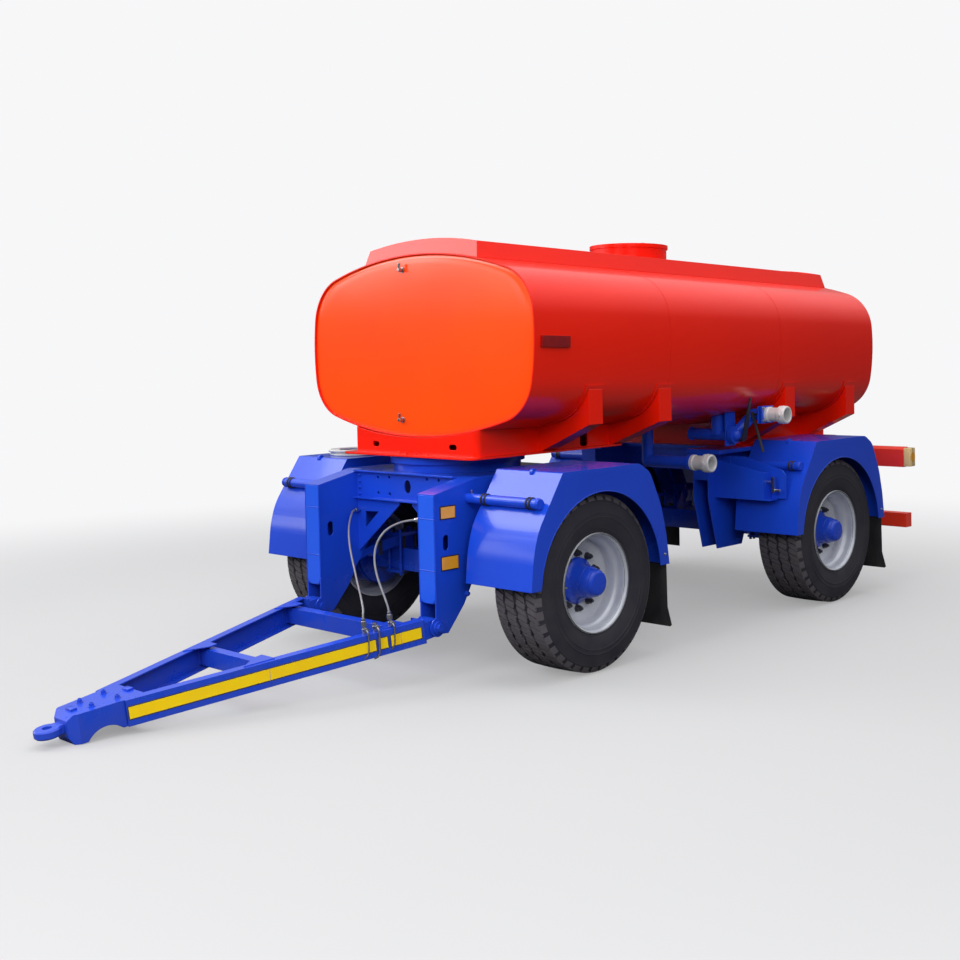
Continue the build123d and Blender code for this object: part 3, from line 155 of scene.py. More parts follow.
class Effects:
    """Shared shader groups: uneven film, road dust by height, and fine grain."""

    def __init__(self) -> None:
        """Builds the groups once."""
        self.film = self._group("film", ("Place", "Scale"), ("Tone", "Ripple"), self._film)
        self.dust = self._group("road_dust", ("Place", "Top", "Amount"), ("Mask",), self._dust)
        self.grain = self._group("grain", ("Place", "Scale"), ("Height", "Speck"), self._grain)

    def _group(self, name: str, ins: tuple, outs: tuple, fill) -> bpy.types.NodeTree:
        """Makes one group.

        Args:
            name: The group's name.
            ins: Input names; Place is a vector.
            outs: Output names, all values.
            fill: Function that adds the inner nodes and gives the output sockets.

        Returns:
            The finished group.
        """
        tree = bpy.data.node_groups.new(name, "ShaderNodeTree")
        for label in ins:
            kind = "NodeSocketVector" if label == "Place" else "NodeSocketFloat"
            tree.interface.new_socket(label, in_out="INPUT", socket_type=kind)
        for label in outs:
            tree.interface.new_socket(label, in_out="OUTPUT", socket_type="NodeSocketFloat")
        made = Nodes(tree)
        source = made.add("NodeGroupInput")
        sockets = fill(made, source)
        made.add("NodeGroupOutput", dict(zip(outs, sockets)))
        return tree

    @staticmethod
    def _film(made: Nodes, source: bpy.types.Node) -> tuple:
        """Gives slow tone changes and the ripple of sprayed enamel.

        Args:
            made: Helper for the group's tree.
            source: The group's input node.

        Returns:
            The tone and the ripple.
        """
        tone = made.add(
            "ShaderNodeTexNoise",
            {"Vector": source.outputs["Place"], "Scale": source.outputs["Scale"], "Detail": 3.0},
        )
        ripple = made.add(
            "ShaderNodeTexNoise", {"Vector": source.outputs["Place"], "Scale": 150.0, "Detail": 2.0}
        )
        return tone.outputs["Fac"], ripple.outputs["Fac"]

    @staticmethod
    def _dust(made: Nodes, source: bpy.types.Node) -> tuple:
        """Gives a patchy mask that fades out upwards below a height.

        Args:
            made: Helper for the group's tree.
            source: The group's input node.

        Returns:
            The mask, in a tuple.
        """
        split = made.add("ShaderNodeSeparateXYZ", {0: source.outputs["Place"]})
        fade = made.add(
            "ShaderNodeMapRange",
            {"Value": split.outputs["Z"], "From Min": source.outputs["Top"], "From Max": 0.0},
        )
        patch = made.add(
            "ShaderNodeTexNoise", {"Vector": source.outputs["Place"], "Scale": 9.0, "Detail": 6.0}
        )
        spread = made.add(
            "ShaderNodeMapRange", {"Value": patch.outputs["Fac"], "From Min": 0.35, "From Max": 0.7}
        )
        both = made.add(
            "ShaderNodeMath",
            {0: fade.outputs["Result"], 1: spread.outputs["Result"]},
            operation="MULTIPLY",
        )
        mask = made.add(
            "ShaderNodeMath", {0: both.outputs[0], 1: source.outputs["Amount"]}, operation="MULTIPLY"
        )
        return (mask.outputs[0],)

    @staticmethod
    def _grain(made: Nodes, source: bpy.types.Node) -> tuple:
        """Gives fine height noise and a few small specks.

        Args:
            made: Helper for the group's tree.
            source: The group's input node.

        Returns:
            The height and the specks.
        """
        fine = made.add(
            "ShaderNodeTexNoise",
            {"Vector": source.outputs["Place"], "Scale": source.outputs["Scale"], "Detail": 4.0},
        )
        cells = made.add(
            "ShaderNodeTexVoronoi", {"Vector": source.outputs["Place"], "Scale": source.outputs["Scale"]}
        )
        speck = made.add(
            "ShaderNodeMapRange", {"Value": cells.outputs["Distance"], "From Min": 0.25, "From Max": 0.05}
        )
        return fine.outputs["Fac"], speck.outputs["Result"]


@dataclass(frozen=True)
class Finish:
    """One finish: a base colour that drifts to a second one, with grain, dust and rounded edges."""

    colour: Colour
    drift: Colour
    roughness: float = 0.3
    metallic: float = 0.0
    coat: float = 0.0
    patch: float = 1.2
    bump: float = 0.02
    grain: float = 0.0
    grain_scale: float = 600.0
    edge: float = 0.004
    dust: float = 0.25
    dust_top: float = 0.9
    dust_colour: Colour = (0.16, 0.13, 0.10)
    specular: float = 0.5

    def material(self, name: str, effects: Effects) -> bpy.types.Material:
        """Builds the material.

        Args:
            name: The material's name.
            effects: The shared groups.

        Returns:
            The procedural material.
        """
        made_material = bpy.data.materials.new(name)
        made_material.use_nodes = True
        made_material.node_tree.nodes.clear()
        made = Nodes(made_material.node_tree)
        place = made.add("ShaderNodeTexCoord").outputs["Object"]
        film = made.add("ShaderNodeGroup", node_tree=effects.film)
        film.inputs["Scale"].default_value = self.patch
        grain = made.add("ShaderNodeGroup", node_tree=effects.grain)
        grain.inputs["Scale"].default_value = self.grain_scale
        dust = made.add("ShaderNodeGroup", node_tree=effects.dust)
        dust.inputs["Top"].default_value = self.dust_top
        dust.inputs["Amount"].default_value = self.dust
        for group in (film, grain, dust):
            made.tree.links.new(place, group.inputs["Place"])
        tone = made.add(
            "ShaderNodeMapRange", {"Value": film.outputs["Tone"], "From Min": 0.3, "From Max": 0.7}
        )
        base = made.add("ShaderNodeMix", data_type="RGBA")
        base.inputs["A"].default_value = (*self.colour, 1)
        base.inputs["B"].default_value = (*self.drift, 1)
        made.tree.links.new(tone.outputs["Result"], base.inputs["Factor"])
        dusty = made.add("ShaderNodeMix", data_type="RGBA")
        dusty.inputs["B"].default_value = (*self.dust_colour, 1)
        made.tree.links.new(dust.outputs["Mask"], dusty.inputs["Factor"])
        made.tree.links.new(base.outputs["Result"], dusty.inputs["A"])
        rough = made.add(
            "ShaderNodeMath",
            {0: film.outputs["Tone"], 1: 0.08, 2: self.roughness - 0.04},
            operation="MULTIPLY_ADD",
        )
        rougher = made.add(
            "ShaderNodeMath", {0: dust.outputs["Mask"], 1: 0.4, 2: rough.outputs[0]}, operation="MULTIPLY_ADD"
        )
        height = made.add(
            "ShaderNodeMath",
            {0: grain.outputs["Height"], 1: self.grain, 2: film.outputs["Ripple"]},
            operation="MULTIPLY_ADD",
        )
        rounded = made.add("ShaderNodeBevel", {"Radius": self.edge}, samples=4)
        bump = made.add(
            "ShaderNodeBump",
            {
                "Height": height.outputs[0],
                "Strength": self.bump,
                "Distance": 0.002,
                "Normal": rounded.outputs[0],
            },
        )
        shader = made.add(
            "ShaderNodeBsdfPrincipled",
            {
                "Base Color": dusty.outputs["Result"],
                "Roughness": rougher.outputs[0],
                "Metallic": self.metallic,
                "Coat Weight": self.coat,
                "Coat Roughness": 0.06,
                "Specular IOR Level": self.specular,
                "Normal": bump.outputs[0],
            },
        )
        made.add("ShaderNodeOutputMaterial", {"Surface": shader.outputs[0]})
        return made_material


# Finish of each slot
FINISHES: dict[Slot, Finish] = {
    Slot.FRAME: Finish(
        (0.010, 0.064, 0.63), (0.008, 0.052, 0.54), 0.26, coat=0.35, bump=0.05, dust=0.22, dust_top=0.6,
        dust_colour=(0.10, 0.09, 0.14), specular=0.4,
    ),
    # Lighter copy of the frame blue for the legs' front strips: painted light on faces turned to the front
    Slot.BAND_LIT: Finish((0.014, 0.105, 0.80), (0.010, 0.090, 0.72), 0.24, coat=0.35, bump=0.04, dust=0.1),
    Slot.TANK: Finish(
        (0.88, 0.013, 0.001), (0.82, 0.009, 0.001), 0.24, coat=0.25, patch=0.7, bump=0.03, specular=0.3
    ),
    # Lit copy of the tank's red for the end dishes: brighter and more orange, as painted light on the sunlit
    # front end
    Slot.TANK_END_LIT: Finish(
        (1.0, 0.078, 0.001), (1.0, 0.062, 0.001), 0.2, coat=0.6, patch=1.1, bump=0.02, specular=0.3
    ),
    Slot.LAMP_BAR: Finish((0.88, 0.040, 0.014), (0.80, 0.032, 0.010), 0.35, coat=0.3, dust=0.2),
    # The blue tint in the silver is painted reflection
    Slot.RIM: Finish(
        (0.70, 0.72, 0.78), (0.58, 0.60, 0.67), 0.32, metallic=0.35, patch=6.0, bump=0.06, dust=0.25,
        dust_top=1.1, dust_colour=(0.30, 0.29, 0.31),
    ),
    # The blue tint in the black rubber is painted reflection
    Slot.TYRE: Finish(
        (0.022, 0.021, 0.032), (0.029, 0.028, 0.038), 0.62, patch=5.0, bump=0.22, grain=1.5,
        grain_scale=420.0, edge=0.0015, dust=0.35, dust_top=1.2, dust_colour=(0.07, 0.068, 0.07),
        specular=0.35,
    ),
    Slot.TREAD: Finish(
        (0.110, 0.100, 0.118), (0.085, 0.078, 0.090), 0.7, patch=14.0, bump=0.3, grain=1.6,
        grain_scale=420.0, edge=0.0015, dust=0.5, dust_top=1.2, dust_colour=(0.10, 0.092, 0.09),
        specular=0.3,
    ),
    Slot.FLAP: Finish(
        (0.014, 0.014, 0.017), (0.022, 0.022, 0.026), 0.6, bump=0.2, grain=1.0, dust=0.4, dust_top=1.0,
        dust_colour=(0.07, 0.066, 0.06),
    ),
    Slot.CHASSIS: Finish(
        (0.016, 0.016, 0.020), (0.028, 0.027, 0.030), 0.45, bump=0.12, grain=0.8, dust=0.3
    ),
    Slot.STEEL: Finish((0.62, 0.63, 0.65), (0.50, 0.51, 0.54), 0.2, metallic=1.0, bump=0.05, dust=0.05),
    Slot.ALLOY: Finish((0.88, 0.87, 0.88), (0.74, 0.74, 0.75), 0.34, metallic=0.4, bump=0.2, grain=1.2),
    Slot.RED_LENS: Finish((0.30, 0.006, 0.008), (0.22, 0.004, 0.006), 0.16, coat=0.8, patch=9.0, edge=0.002),
    Slot.AMBER_LENS: Finish((0.92, 0.42, 0.01), (0.85, 0.36, 0.01), 0.2, coat=0.8, patch=9.0, edge=0.002),
    # Mid grey on the black hoses: the base colour carries a painted highlight along the thin hose
    Slot.HOSE: Finish(
        (0.22, 0.225, 0.24), (0.15, 0.155, 0.17), 0.3, coat=0.8, patch=30.0, bump=0.1, edge=0.001
    ),
    Slot.HANK: Finish((0.66, 0.67, 0.66), (0.52, 0.53, 0.53), 0.42, patch=12.0, bump=0.1, edge=0.001),
    Slot.TAPE: Finish(
        (1.0, 0.70, 0.0), (1.0, 0.64, 0.0), 0.4, coat=0.15, patch=8.0, bump=0.1, grain=1.0,
        grain_scale=300.0, edge=0.0005, dust=0.08,
    ),
    Slot.TAPE_EDGE: Finish((0.03, 0.03, 0.05), (0.05, 0.05, 0.07), 0.5, patch=8.0, edge=0.0005),
    Slot.CREAM: Finish((0.85, 0.62, 0.28), (0.78, 0.55, 0.24), 0.25, coat=0.6, patch=9.0, edge=0.002),
    Slot.NUT: Finish(
        (0.055, 0.058, 0.075), (0.040, 0.042, 0.055), 0.4, metallic=0.4, patch=20.0, edge=0.002
    ),
    Slot.DARK: Finish((0.006, 0.006, 0.008), (0.010, 0.010, 0.012), 0.7, patch=4.0, edge=0.001),
}


def smooth_by_angle(mesh: bpy.types.Mesh, degrees: float) -> None:
    """Shades the mesh smooth apart from edges sharper than the angle."""
    mesh.shade_smooth()
    mesh.set_sharp_from_angle(angle=radians(degrees))


def turn_to(direction: Vector) -> Matrix:
    """Gives the rotation that takes +Z to the direction."""
    return direction.to_track_quat("Z", "Y").to_matrix().to_4x4()


class Shop:
    """Holds the frame and the finishes, and puts finished pieces on their bodies."""

    def __init__(self) -> None:
        """Loads the frame and gives each of its nodes its finish."""
        self.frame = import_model()
        effects = Effects()
        self.materials = {slot: finish.material(slot.value, effects) for slot, finish in FINISHES.items()}
        self.record_slots = {entry["slot"] for entry in self.frame["record"]["materials"]}
        slots = {entry["node"]: entry["material_slot"] for entry in self.frame["record"]["subparts"]}
        for name, node in self.frame["nodes"].items():
            node.data.materials.clear()
            node.data.materials.append(self.materials[Slot(slots[name])])

    def axle_x(self, end: str) -> float:
        """Gives the x of the front or the rear axle."""
        low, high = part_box(f"hub_{end}_left")
        return (low.x + high.x) / 2

    def copy_of(self, node: str) -> BMesh:
        """Gives a merged copy of a node's mesh, its flat faces joined.

        Args:
            node: The node's name.

        Returns:
            The merged mesh, freed by the caller.
        """
        bm = bmesh.new()
        bm.from_mesh(self.frame["nodes"][node].data)
        bmesh.ops.remove_doubles(bm, verts=bm.verts, dist=2e-5)
        bmesh.ops.dissolve_limit(bm, angle_limit=radians(0.4), verts=bm.verts, edges=bm.edges)
        return bm

    def solid_boxes(self, node: str) -> list[tuple[Vector, Vector]]:
        """Gives the low and high corner of each separate solid in a node.

        Args:
            node: The node's name.

        Returns:
            Pairs of low and high corner.
        """
        bm = self.copy_of(node)
        left, boxes = set(bm.verts), []
        while left:
            found = [left.pop()]
            for vert in found:
                for edge in vert.link_edges:
                    other = edge.other_vert(vert)
                    if other in left:
                        left.remove(other)
                        found.append(other)
            corners = (Vector([pick(v.co[i] for v in found) for i in range(3)]) for pick in (min, max))
            boxes.append(tuple(corners))
        bm.free()
        return boxes

    def add(
        self, bm: BMesh, name: str, body: str, slot: Slot, angle: float = 32.0, extra: tuple[Slot, ...] = ()
    ) -> bpy.types.Object:
        """Finishes a mesh as a piece that rides on a body.

        Args:
            bm: The mesh, freed here.
            name: The piece's name.
            body: The body that carries it.
            slot: Its finish.
            angle: Edges sharper than this many degrees stay sharp.
            extra: More finishes, for faces with a material index over 0.

        Returns:
            The new object.
        """
        bmesh.ops.recalc_face_normals(bm, faces=bm.faces)
        mesh = bpy.data.meshes.new(name)
        bm.to_mesh(mesh)
        bm.free()
        smooth_by_angle(mesh, angle)
        piece = bpy.data.objects.new(name, mesh)
        bpy.context.scene.collection.objects.link(piece)
        for finish in (slot, *extra):
            mesh.materials.append(self.materials[finish])
        if body:
            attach(piece, body)
        LOG.info("piece %s: %d faces", name, len(mesh.polygons))
        return piece


def bar(
    bm: BMesh, start: Point, end: Point, radius: float, segments: int = 20, tip: float | None = None
) -> list:
    """Adds a round bar.

    Args:
        bm: The mesh to add to.
        start: Middle of its first end.
        end: Middle of its other end.
        radius: Radius at the start.
        segments: Sides round it; 6 makes a nut.
        tip: Radius at the end, if it tapers.

    Returns:
        The new vertices.
    """
    a, b = Vector(start), Vector(end)
    place = Matrix.Translation((a + b) / 2) @ turn_to(b - a)
    made = bmesh.ops.create_cone(
        bm, cap_ends=True, segments=segments, radius1=radius, radius2=radius if tip is None else tip,
        depth=(b - a).length, matrix=place,
    )
    return made["verts"]


def brick(bm: BMesh, low: Point, high: Point, edge: float = 0.0, place: Matrix | None = None) -> list:
    """Adds a box between two corners, its edges bevelled.

    Args:
        bm: The mesh to add to.
        low: Lowest corner.
        high: Highest corner.
        edge: Bevel width.
        place: Matrix that the corners are given in.

    Returns:
        The box's vertices, as far as the bevel keeps them.
    """
    a, b = Vector(low), Vector(high)
    size = Matrix.Diagonal((*(b - a), 1))
    whole = (place or Matrix()) @ Matrix.Translation((a + b) / 2) @ size
    made = bmesh.ops.create_cube(bm, size=1.0, matrix=whole)
    if edge:
        edges = list({e for v in made["verts"] for e in v.link_edges})
        bmesh.ops.bevel(
            bm, geom=edges, offset=edge, offset_type="OFFSET", segments=2, profile=0.5, affect="EDGES",
            material=-1,
        )
    return made["verts"]


def ring(
    bm: BMesh, centre: Point, axis: Point, radius: float, wire: float, around: int = 48, wide: float = 1.0
) -> None:
    """Adds a closed ring of round wire.

    Args:
        bm: The mesh to add to.
        centre: Its middle.
        axis: Direction of its axle.
        radius: From the middle to the wire's own middle.
        wire: The wire's radius.
        around: Steps round the ring.
        wide: Stretch of the wire along the axle.
    """
    turn = turn_to(Vector(axis))
    place = Matrix.Translation(Vector(centre)) @ turn
    wire_place = place @ Matrix.Translation((radius, 0, 0)) @ Matrix.Rotation(pi / 2, 4, "X")
    wire_place = wire_place @ Matrix.Diagonal((1, wide, 1, 1))
    made = bmesh.ops.create_circle(bm, segments=10, radius=wire, matrix=wire_place)
    edges = list({e for v in made["verts"] for e in v.link_edges})
    bmesh.ops.spin(
        bm, geom=made["verts"] + edges, cent=Vector(centre), axis=turn @ Vector((0, 0, 1)), angle=tau,
        steps=around, use_merge=True,
    )


def lathe(
    bm: BMesh, profile: list[tuple[float, float]], place: Matrix, steps: int, closed: bool = True
) -> None:
    """Turns a profile about the local Z axis.

    Args:
        bm: The mesh to add to.
        profile: Points of (height along the axis, radius).
        place: Matrix of the axis.
        steps: Steps round.
        closed: Joins the last point to the first.
    """
    verts = [bm.verts.new(place @ Vector((radius, 0, height))) for height, radius in profile]
    pairs = list(zip(verts, verts[1:])) + ([(verts[-1], verts[0])] if closed else [])
    edges = [bm.edges.new(pair) for pair in pairs]
    bmesh.ops.spin(
        bm, geom=verts + edges, cent=place.translation, axis=place.to_3x3() @ Vector((0, 0, 1)), angle=tau,
        steps=steps, use_merge=True,
    )
    bmesh.ops.remove_doubles(bm, verts=bm.verts, dist=1e-6)


def hex_bolt(bm: BMesh, seat: Point, normal: Point, across: float, height: float | None = None) -> None:
    """Adds a bolt head with its washer and the stud's end, standing on a seat.

    Args:
        bm: The mesh to add to.
        seat: Middle of its seat.
        normal: Direction it stands in.
        across: About its width.
        height: Height of the head, if not the usual.
    """
    base, up = Vector(seat), Vector(normal).normalized()
    tall = height or across * 0.6
    bar(bm, base - up * 0.001, base + up * across * 0.12, across * 0.72, 18)
    bar(bm, base + up * across * 0.1, base + up * tall, across * 0.56, 6, across * 0.53)
    bar(bm, base + up * tall * 0.8, base + up * (tall + across * 0.22), across * 0.28, 10)


def outline_plate(bm: BMesh, outline: list[Vector], thick: Vector) -> list:
    """Adds a plate from an outline, thickened along a vector, and gives its faces.

    Args:
        bm: The mesh to add to.
        outline: Corners in order.
        thick: Vector from one face to the other.

    Returns:
        The plate's faces, but for the first.
    """
    verts = [bm.verts.new(point) for point in outline]
    face = bm.faces.new(verts)
    made = bmesh.ops.extrude_face_region(bm, geom=[face])
    moved = [item for item in made["geom"] if isinstance(item, bmesh.types.BMVert)]
    bmesh.ops.translate(bm, verts=moved, vec=thick)
    return [f for v in moved for f in v.link_faces]


def nurbs(name: str, points: list[Point], radius: float = 0.0) -> bpy.types.Mesh:
    """Gives the line, or a round tube, along a smooth curve.

    Args:
        name: Name of the data.
        points: Control points.
        radius: The tube's radius, 0 for the bare line.

    Returns:
        A mesh of the line or of the tube.
    """
    curve = bpy.data.curves.new(name, "CURVE")
    curve.dimensions = "3D"
    curve.resolution_u = 6
    spline = curve.splines.new("NURBS")
    spline.points.add(len(points) - 1)
    for place, point in zip(spline.points, points):
        place.co = (*point, 1.0)
    spline.order_u = 3
    spline.use_endpoint_u = True
    if radius:
        curve.bevel_depth = radius
        curve.bevel_resolution = 3
        curve.use_fill_caps = True
    holder = bpy.data.objects.new(name, curve)
    bpy.context.scene.collection.objects.link(holder)
    bpy.context.view_layer.update()
    evaluated = holder.evaluated_get(bpy.context.evaluated_depsgraph_get())
    mesh = bpy.data.meshes.new_from_object(evaluated)
    bpy.data.objects.remove(holder)
    bpy.data.curves.remove(curve)
    return mesh


def pipe(bm: BMesh, points: list[Point], radius: float) -> None:
    """Adds a bent rigid pipe along a smooth curve."""
    bm.from_mesh(nurbs("pipe_line", points, radius))


@dataclass
class Studio:
    """Pale floor, soft lamps, world and the camera at the photo's angle."""

    eye: Point = (6.423, 6.19, 1.92)
    yaw: float = 43.72
    pitch: float = 2.02
    roll: float = -1.22
    lens: float = 49.28
    # The photo's principal point, in its own pixels, and the picture's size
    principal: tuple[float, float] = (512.6, 398.1)
    picture: float = 960.0
    backdrop: float = 0.42
    bounce: float = 0.10
    # Share of the plain backdrop that the floor has near the trailer
    haze: float = 0.32
    cloud: float = 4.5
    sky: float = 1.35

    def camera(self) -> None:
        """Makes the camera."""
        yaw, pitch, roll = radians(self.yaw), radians(self.pitch), radians(self.roll)
        ahead = Vector((-cos(yaw) * cos(pitch), -sin(yaw) * cos(pitch), -sin(pitch)))
        right = ahead.cross(Vector((0, 0, 1))).normalized()
        up = right.cross(ahead)
        right_rolled = cos(roll) * right + sin(roll) * up
        up_rolled = cos(roll) * up - sin(roll) * right
        data = bpy.data.cameras.new("camera")
        data.lens = self.lens
        data.sensor_width = 36.0
        half = self.picture / 2
        data.shift_x = (half - self.principal[0]) / self.picture
        data.shift_y = (self.principal[1] - half) / self.picture
        data.clip_end = 200.0
        camera = bpy.data.objects.new("camera", data)
        turn = Matrix((right_rolled, up_rolled, -ahead)).transposed().to_4x4()
        camera.matrix_world = Matrix.Translation(self.eye) @ turn
        bpy.context.scene.collection.objects.link(camera)
        bpy.context.scene.camera = camera

    def lamps(self) -> None:
        """Makes the soft area lamps: (name, place, aim, size, power, shows in gloss)."""
        for name, place, aim, size, power, glossy in (
            ("sky_panel", (0.5, 0.5, 8.0), (0, 0, 1.0), 6.0, 170.0, False),
            ("front_panel", (9.0, 1.5, 4.5), (1.0, 0, 1.2), 4.0, 330.0, False),
            ("corner_panel", (6.0, 8.0, 5.0), (0, 0.5, 1.1), 4.5, 330.0, False),
            ("fender_panel", (4.2, -5.2, 6.4), (1.0, 0.5, 1.1), 4.5, 200.0, True),
            ("back_panel", (-8.5, 0.5, 6.0), (-1.0, 0, 1.6), 4.0, 190.0, False),
        ):
            light = bpy.data.lights.new(name, "AREA")
            light.shape = "DISK"
            light.size = size
            light.energy = power
            lamp = bpy.data.objects.new(name, light)
            lamp.location = place
            lamp.rotation_mode = "QUATERNION"
            lamp.rotation_quaternion = (Vector(aim) - Vector(place)).to_track_quat("-Z", "Y")
            lamp.visible_glossy = glossy
            bpy.context.scene.collection.objects.link(lamp)

    def world(self) -> None:
        """Makes a soft cloudy sky, brighter overhead and over the front right, pale for the camera."""
        world = bpy.data.worlds.new("studio")
        bpy.context.scene.world = world
        world.use_nodes = True
        world.node_tree.nodes.clear()
        made = Nodes(world.node_tree)
        way = made.add("ShaderNodeTexCoord").outputs["Generated"]
        height = made.add("ShaderNodeSeparateXYZ", {0: way}).outputs["Z"]
        ramp = made.add("ShaderNodeValToRGB", {"Fac": height})
        # Sky by the sine of its height: (height, level)
        for number, (rise, level) in enumerate(((0.0, 0.06), (0.16, 0.12), (0.5, 0.52), (1.0, 1.0))):
            stops = ramp.color_ramp.elements
            stop = stops[number] if number < 2 else stops.new(rise)
            stop.position = rise
            stop.color = (level * 0.97, level * 0.985, level, 1)
        clouds = made.add("ShaderNodeTexNoise", {"Vector": way, "Scale": 4.0, "Detail": 3.0})
        billow = made.add(
            "ShaderNodeMapRange", {"Value": clouds.outputs["Fac"], "From Min": 0.42, "From Max": 0.62}
        )
        # Bright clouds over the front right, which the tank's end mirrors
        toward = made.add("ShaderNodeVectorMath", {0: way, 1: (0.60, -0.80, 0.05)}, operation="DOT_PRODUCT")
        near = made.add(
            "ShaderNodeMapRange", {"Value": toward.outputs["Value"], "From Min": 0.80, "From Max": 0.97}
        )
        above = made.add("ShaderNodeMapRange", {"Value": height, "From Min": 0.06, "From Max": 0.16})
        patch = made.add("ShaderNodeMath", {0: near.outputs[0], 1: above.outputs[0]}, operation="MULTIPLY")
        bank = made.add("ShaderNodeMath", {0: patch.outputs[0], 1: billow.outputs[0]}, operation="MULTIPLY")
        level = made.add("ShaderNodeMath", {0: bank.outputs[0], 1: self.cloud}, operation="MULTIPLY")
        base = made.add("ShaderNodeBackground", {"Color": ramp.outputs["Color"], "Strength": self.sky})
        bright = made.add("ShaderNodeBackground", {"Color": (1, 1, 1, 1), "Strength": level.outputs[0]})
        sky = made.add("ShaderNodeAddShader", {0: base.outputs[0], 1: bright.outputs[0]})
        wall = made.add("ShaderNodeBackground", {"Color": (0.93, 0.93, 0.94, 1), "Strength": 1.0})
        seen = made.add("ShaderNodeLightPath")
        mix = made.add(
            "ShaderNodeMixShader", {0: seen.outputs["Is Camera Ray"], 1: sky.outputs[0], 2: wall.outputs[0]}
        )
        made.add("ShaderNodeOutputWorld", {"Surface": mix.outputs[0]})

    def floor(self) -> None:
        """Makes the pale floor."""
        bm = bmesh.new()
        bmesh.ops.create_grid(bm, x_segments=1, y_segments=1, size=60.0)
        mesh = bpy.data.meshes.new("floor")
        bm.to_mesh(mesh)
        bm.free()
        piece = bpy.data.objects.new("floor", mesh)
        bpy.context.scene.collection.objects.link(piece)
        material = bpy.data.materials.new("floor")
        material.use_nodes = True
        material.node_tree.nodes.clear()
        made = Nodes(material.node_tree)
        place = made.add("ShaderNodeTexCoord").outputs["Object"]
        tone = made.add("ShaderNodeTexNoise", {"Vector": place, "Scale": 0.6, "Detail": 3.0})
        shade = made.add("ShaderNodeMix", {"Factor": tone.outputs["Fac"]}, data_type="RGBA")
        level = self.backdrop
        shade.inputs["A"].default_value = (level, level, level * 1.01, 1)
        shade.inputs["B"].default_value = (level * 0.97, level * 0.97, level * 0.98, 1)
        seen = made.add("ShaderNodeLightPath")
        # The floor is pale where it is looked at, and throws less light up at the trailer
        bounce = made.add("ShaderNodeMix", data_type="RGBA")
        bounce.inputs["A"].default_value = (self.bounce, self.bounce, self.bounce, 1)
        made.tree.links.new(seen.outputs["Is Camera Ray"], bounce.inputs["Factor"])
        made.tree.links.new(shade.outputs["Result"], bounce.inputs["B"])
        shader = made.add(
            "ShaderNodeBsdfPrincipled",
            {"Base Color": bounce.outputs["Result"], "Roughness": 0.9, "Specular IOR Level": 0.0},
        )
        # Far from the trailer the floor passes into the plain backdrop
        away = made.add("ShaderNodeVectorMath", {0: place}, operation="LENGTH")
        far = made.add(
            "ShaderNodeMapRange",
            {"Value": away.outputs["Value"], "From Min": 4.0, "From Max": 9.5, "To Min": self.haze},
            interpolation_type="SMOOTHSTEP",
        )
        seen_far = made.add(
            "ShaderNodeMath",
            {0: far.outputs["Result"], 1: seen.outputs["Is Camera Ray"]},
            operation="MULTIPLY",
        )
        plain = made.add("ShaderNodeEmission", {"Color": (0.93, 0.93, 0.94, 1), "Strength": 1.0})
        mix = made.add(
            "ShaderNodeMixShader", {0: seen_far.outputs[0], 1: shader.outputs[0], 2: plain.outputs[0]}
        )
        made.add("ShaderNodeOutputMaterial", {"Surface": mix.outputs[0]})
        mesh.materials.append(material)

    def build(self) -> None:
        """Makes the whole studio."""
        self.camera()
        self.lamps()
        self.world()
        self.floor()


@dataclass
class BrakeHose:
    """One brake hose from a union on the drawbar up to the bogie."""

    name: str
    node: str
    route: list[Point]
    length: float
    diameter: float = 0.013

    def build(self, shop: Shop) -> None:
        """Args:
            shop: The shop that holds the frame.
        """
        line = nurbs(self.name, self.route)
        bm = bmesh.new()
        pipe(bm, self.route, self.diameter / 2)
        piece = shop.add(bm, self.name, "", Slot.HOSE, 60.0)
        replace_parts(piece, self.node)
        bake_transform(piece)

    @staticmethod
    def nuts(shop: Shop, routes: list[list[Point]]) -> None:
        """Builds the swivel nuts at both ends of every hose.

        Args:
            shop: The shop that holds the frame.
            routes: Control points of each hose.
        """
        for body, first, second in (("drawbar", 0, 1), ("bogie", -1, -2)):
            bm = bmesh.new()
            for route in routes:
                seat = Vector(route[first])
                away = (Vector(route[second]) - seat).normalized()
                bar(bm, seat - away * 0.004, seat + away * 0.024, 0.0175, 6)
                bar(bm, seat + away * 0.022, seat + away * 0.040, 0.0120, 16)
            shop.add(bm, f"hose_nuts_{body}", body, Slot.STEEL)


# Routes of the two brake hoses, from the drawbar's union to the bogie's bulkhead
SUPPLY_ROUTE: list[Point] = [
    (1.6948, 0.4674, 0.3950),
    (1.6998, 0.4674, 0.4367),
    (1.6694, 0.4380, 0.4780),
    (1.6074, 0.3400, 0.5380),
    (1.5294, 0.2180, 0.5900),
    (1.4434, 0.0880, 0.6500),
    (1.3584, -0.0440, 0.7120),
    (1.2684, -0.1700, 0.7750),
    (1.1834, -0.2750, 0.8280),
    (1.1054, -0.3580, 0.8690),
    (1.0394, -0.4170, 0.8980),
    (1.0024, -0.4520, 0.9120),
    (0.9574, -0.4520, 0.9120),
]
SERVICE_ROUTE: list[Point] = [
    (1.5360, 0.5094, 0.4141),
    (1.5410, 0.5094, 0.4558),
    (1.5334, 0.4860, 0.4920),
    (1.5174, 0.4200, 0.5720),
    (1.4954, 0.3500, 0.6500),
    (1.4684, 0.3020, 0.7380),
    (1.4334, 0.2900, 0.8200),
    (1.3884, 0.3120, 0.8840),
    (1.3334, 0.3350, 0.9150),
    (1.2734, 0.3620, 0.9310),
    (1.2284, 0.3980, 0.9370),
    (1.2284, 0.4440, 0.9370),
]


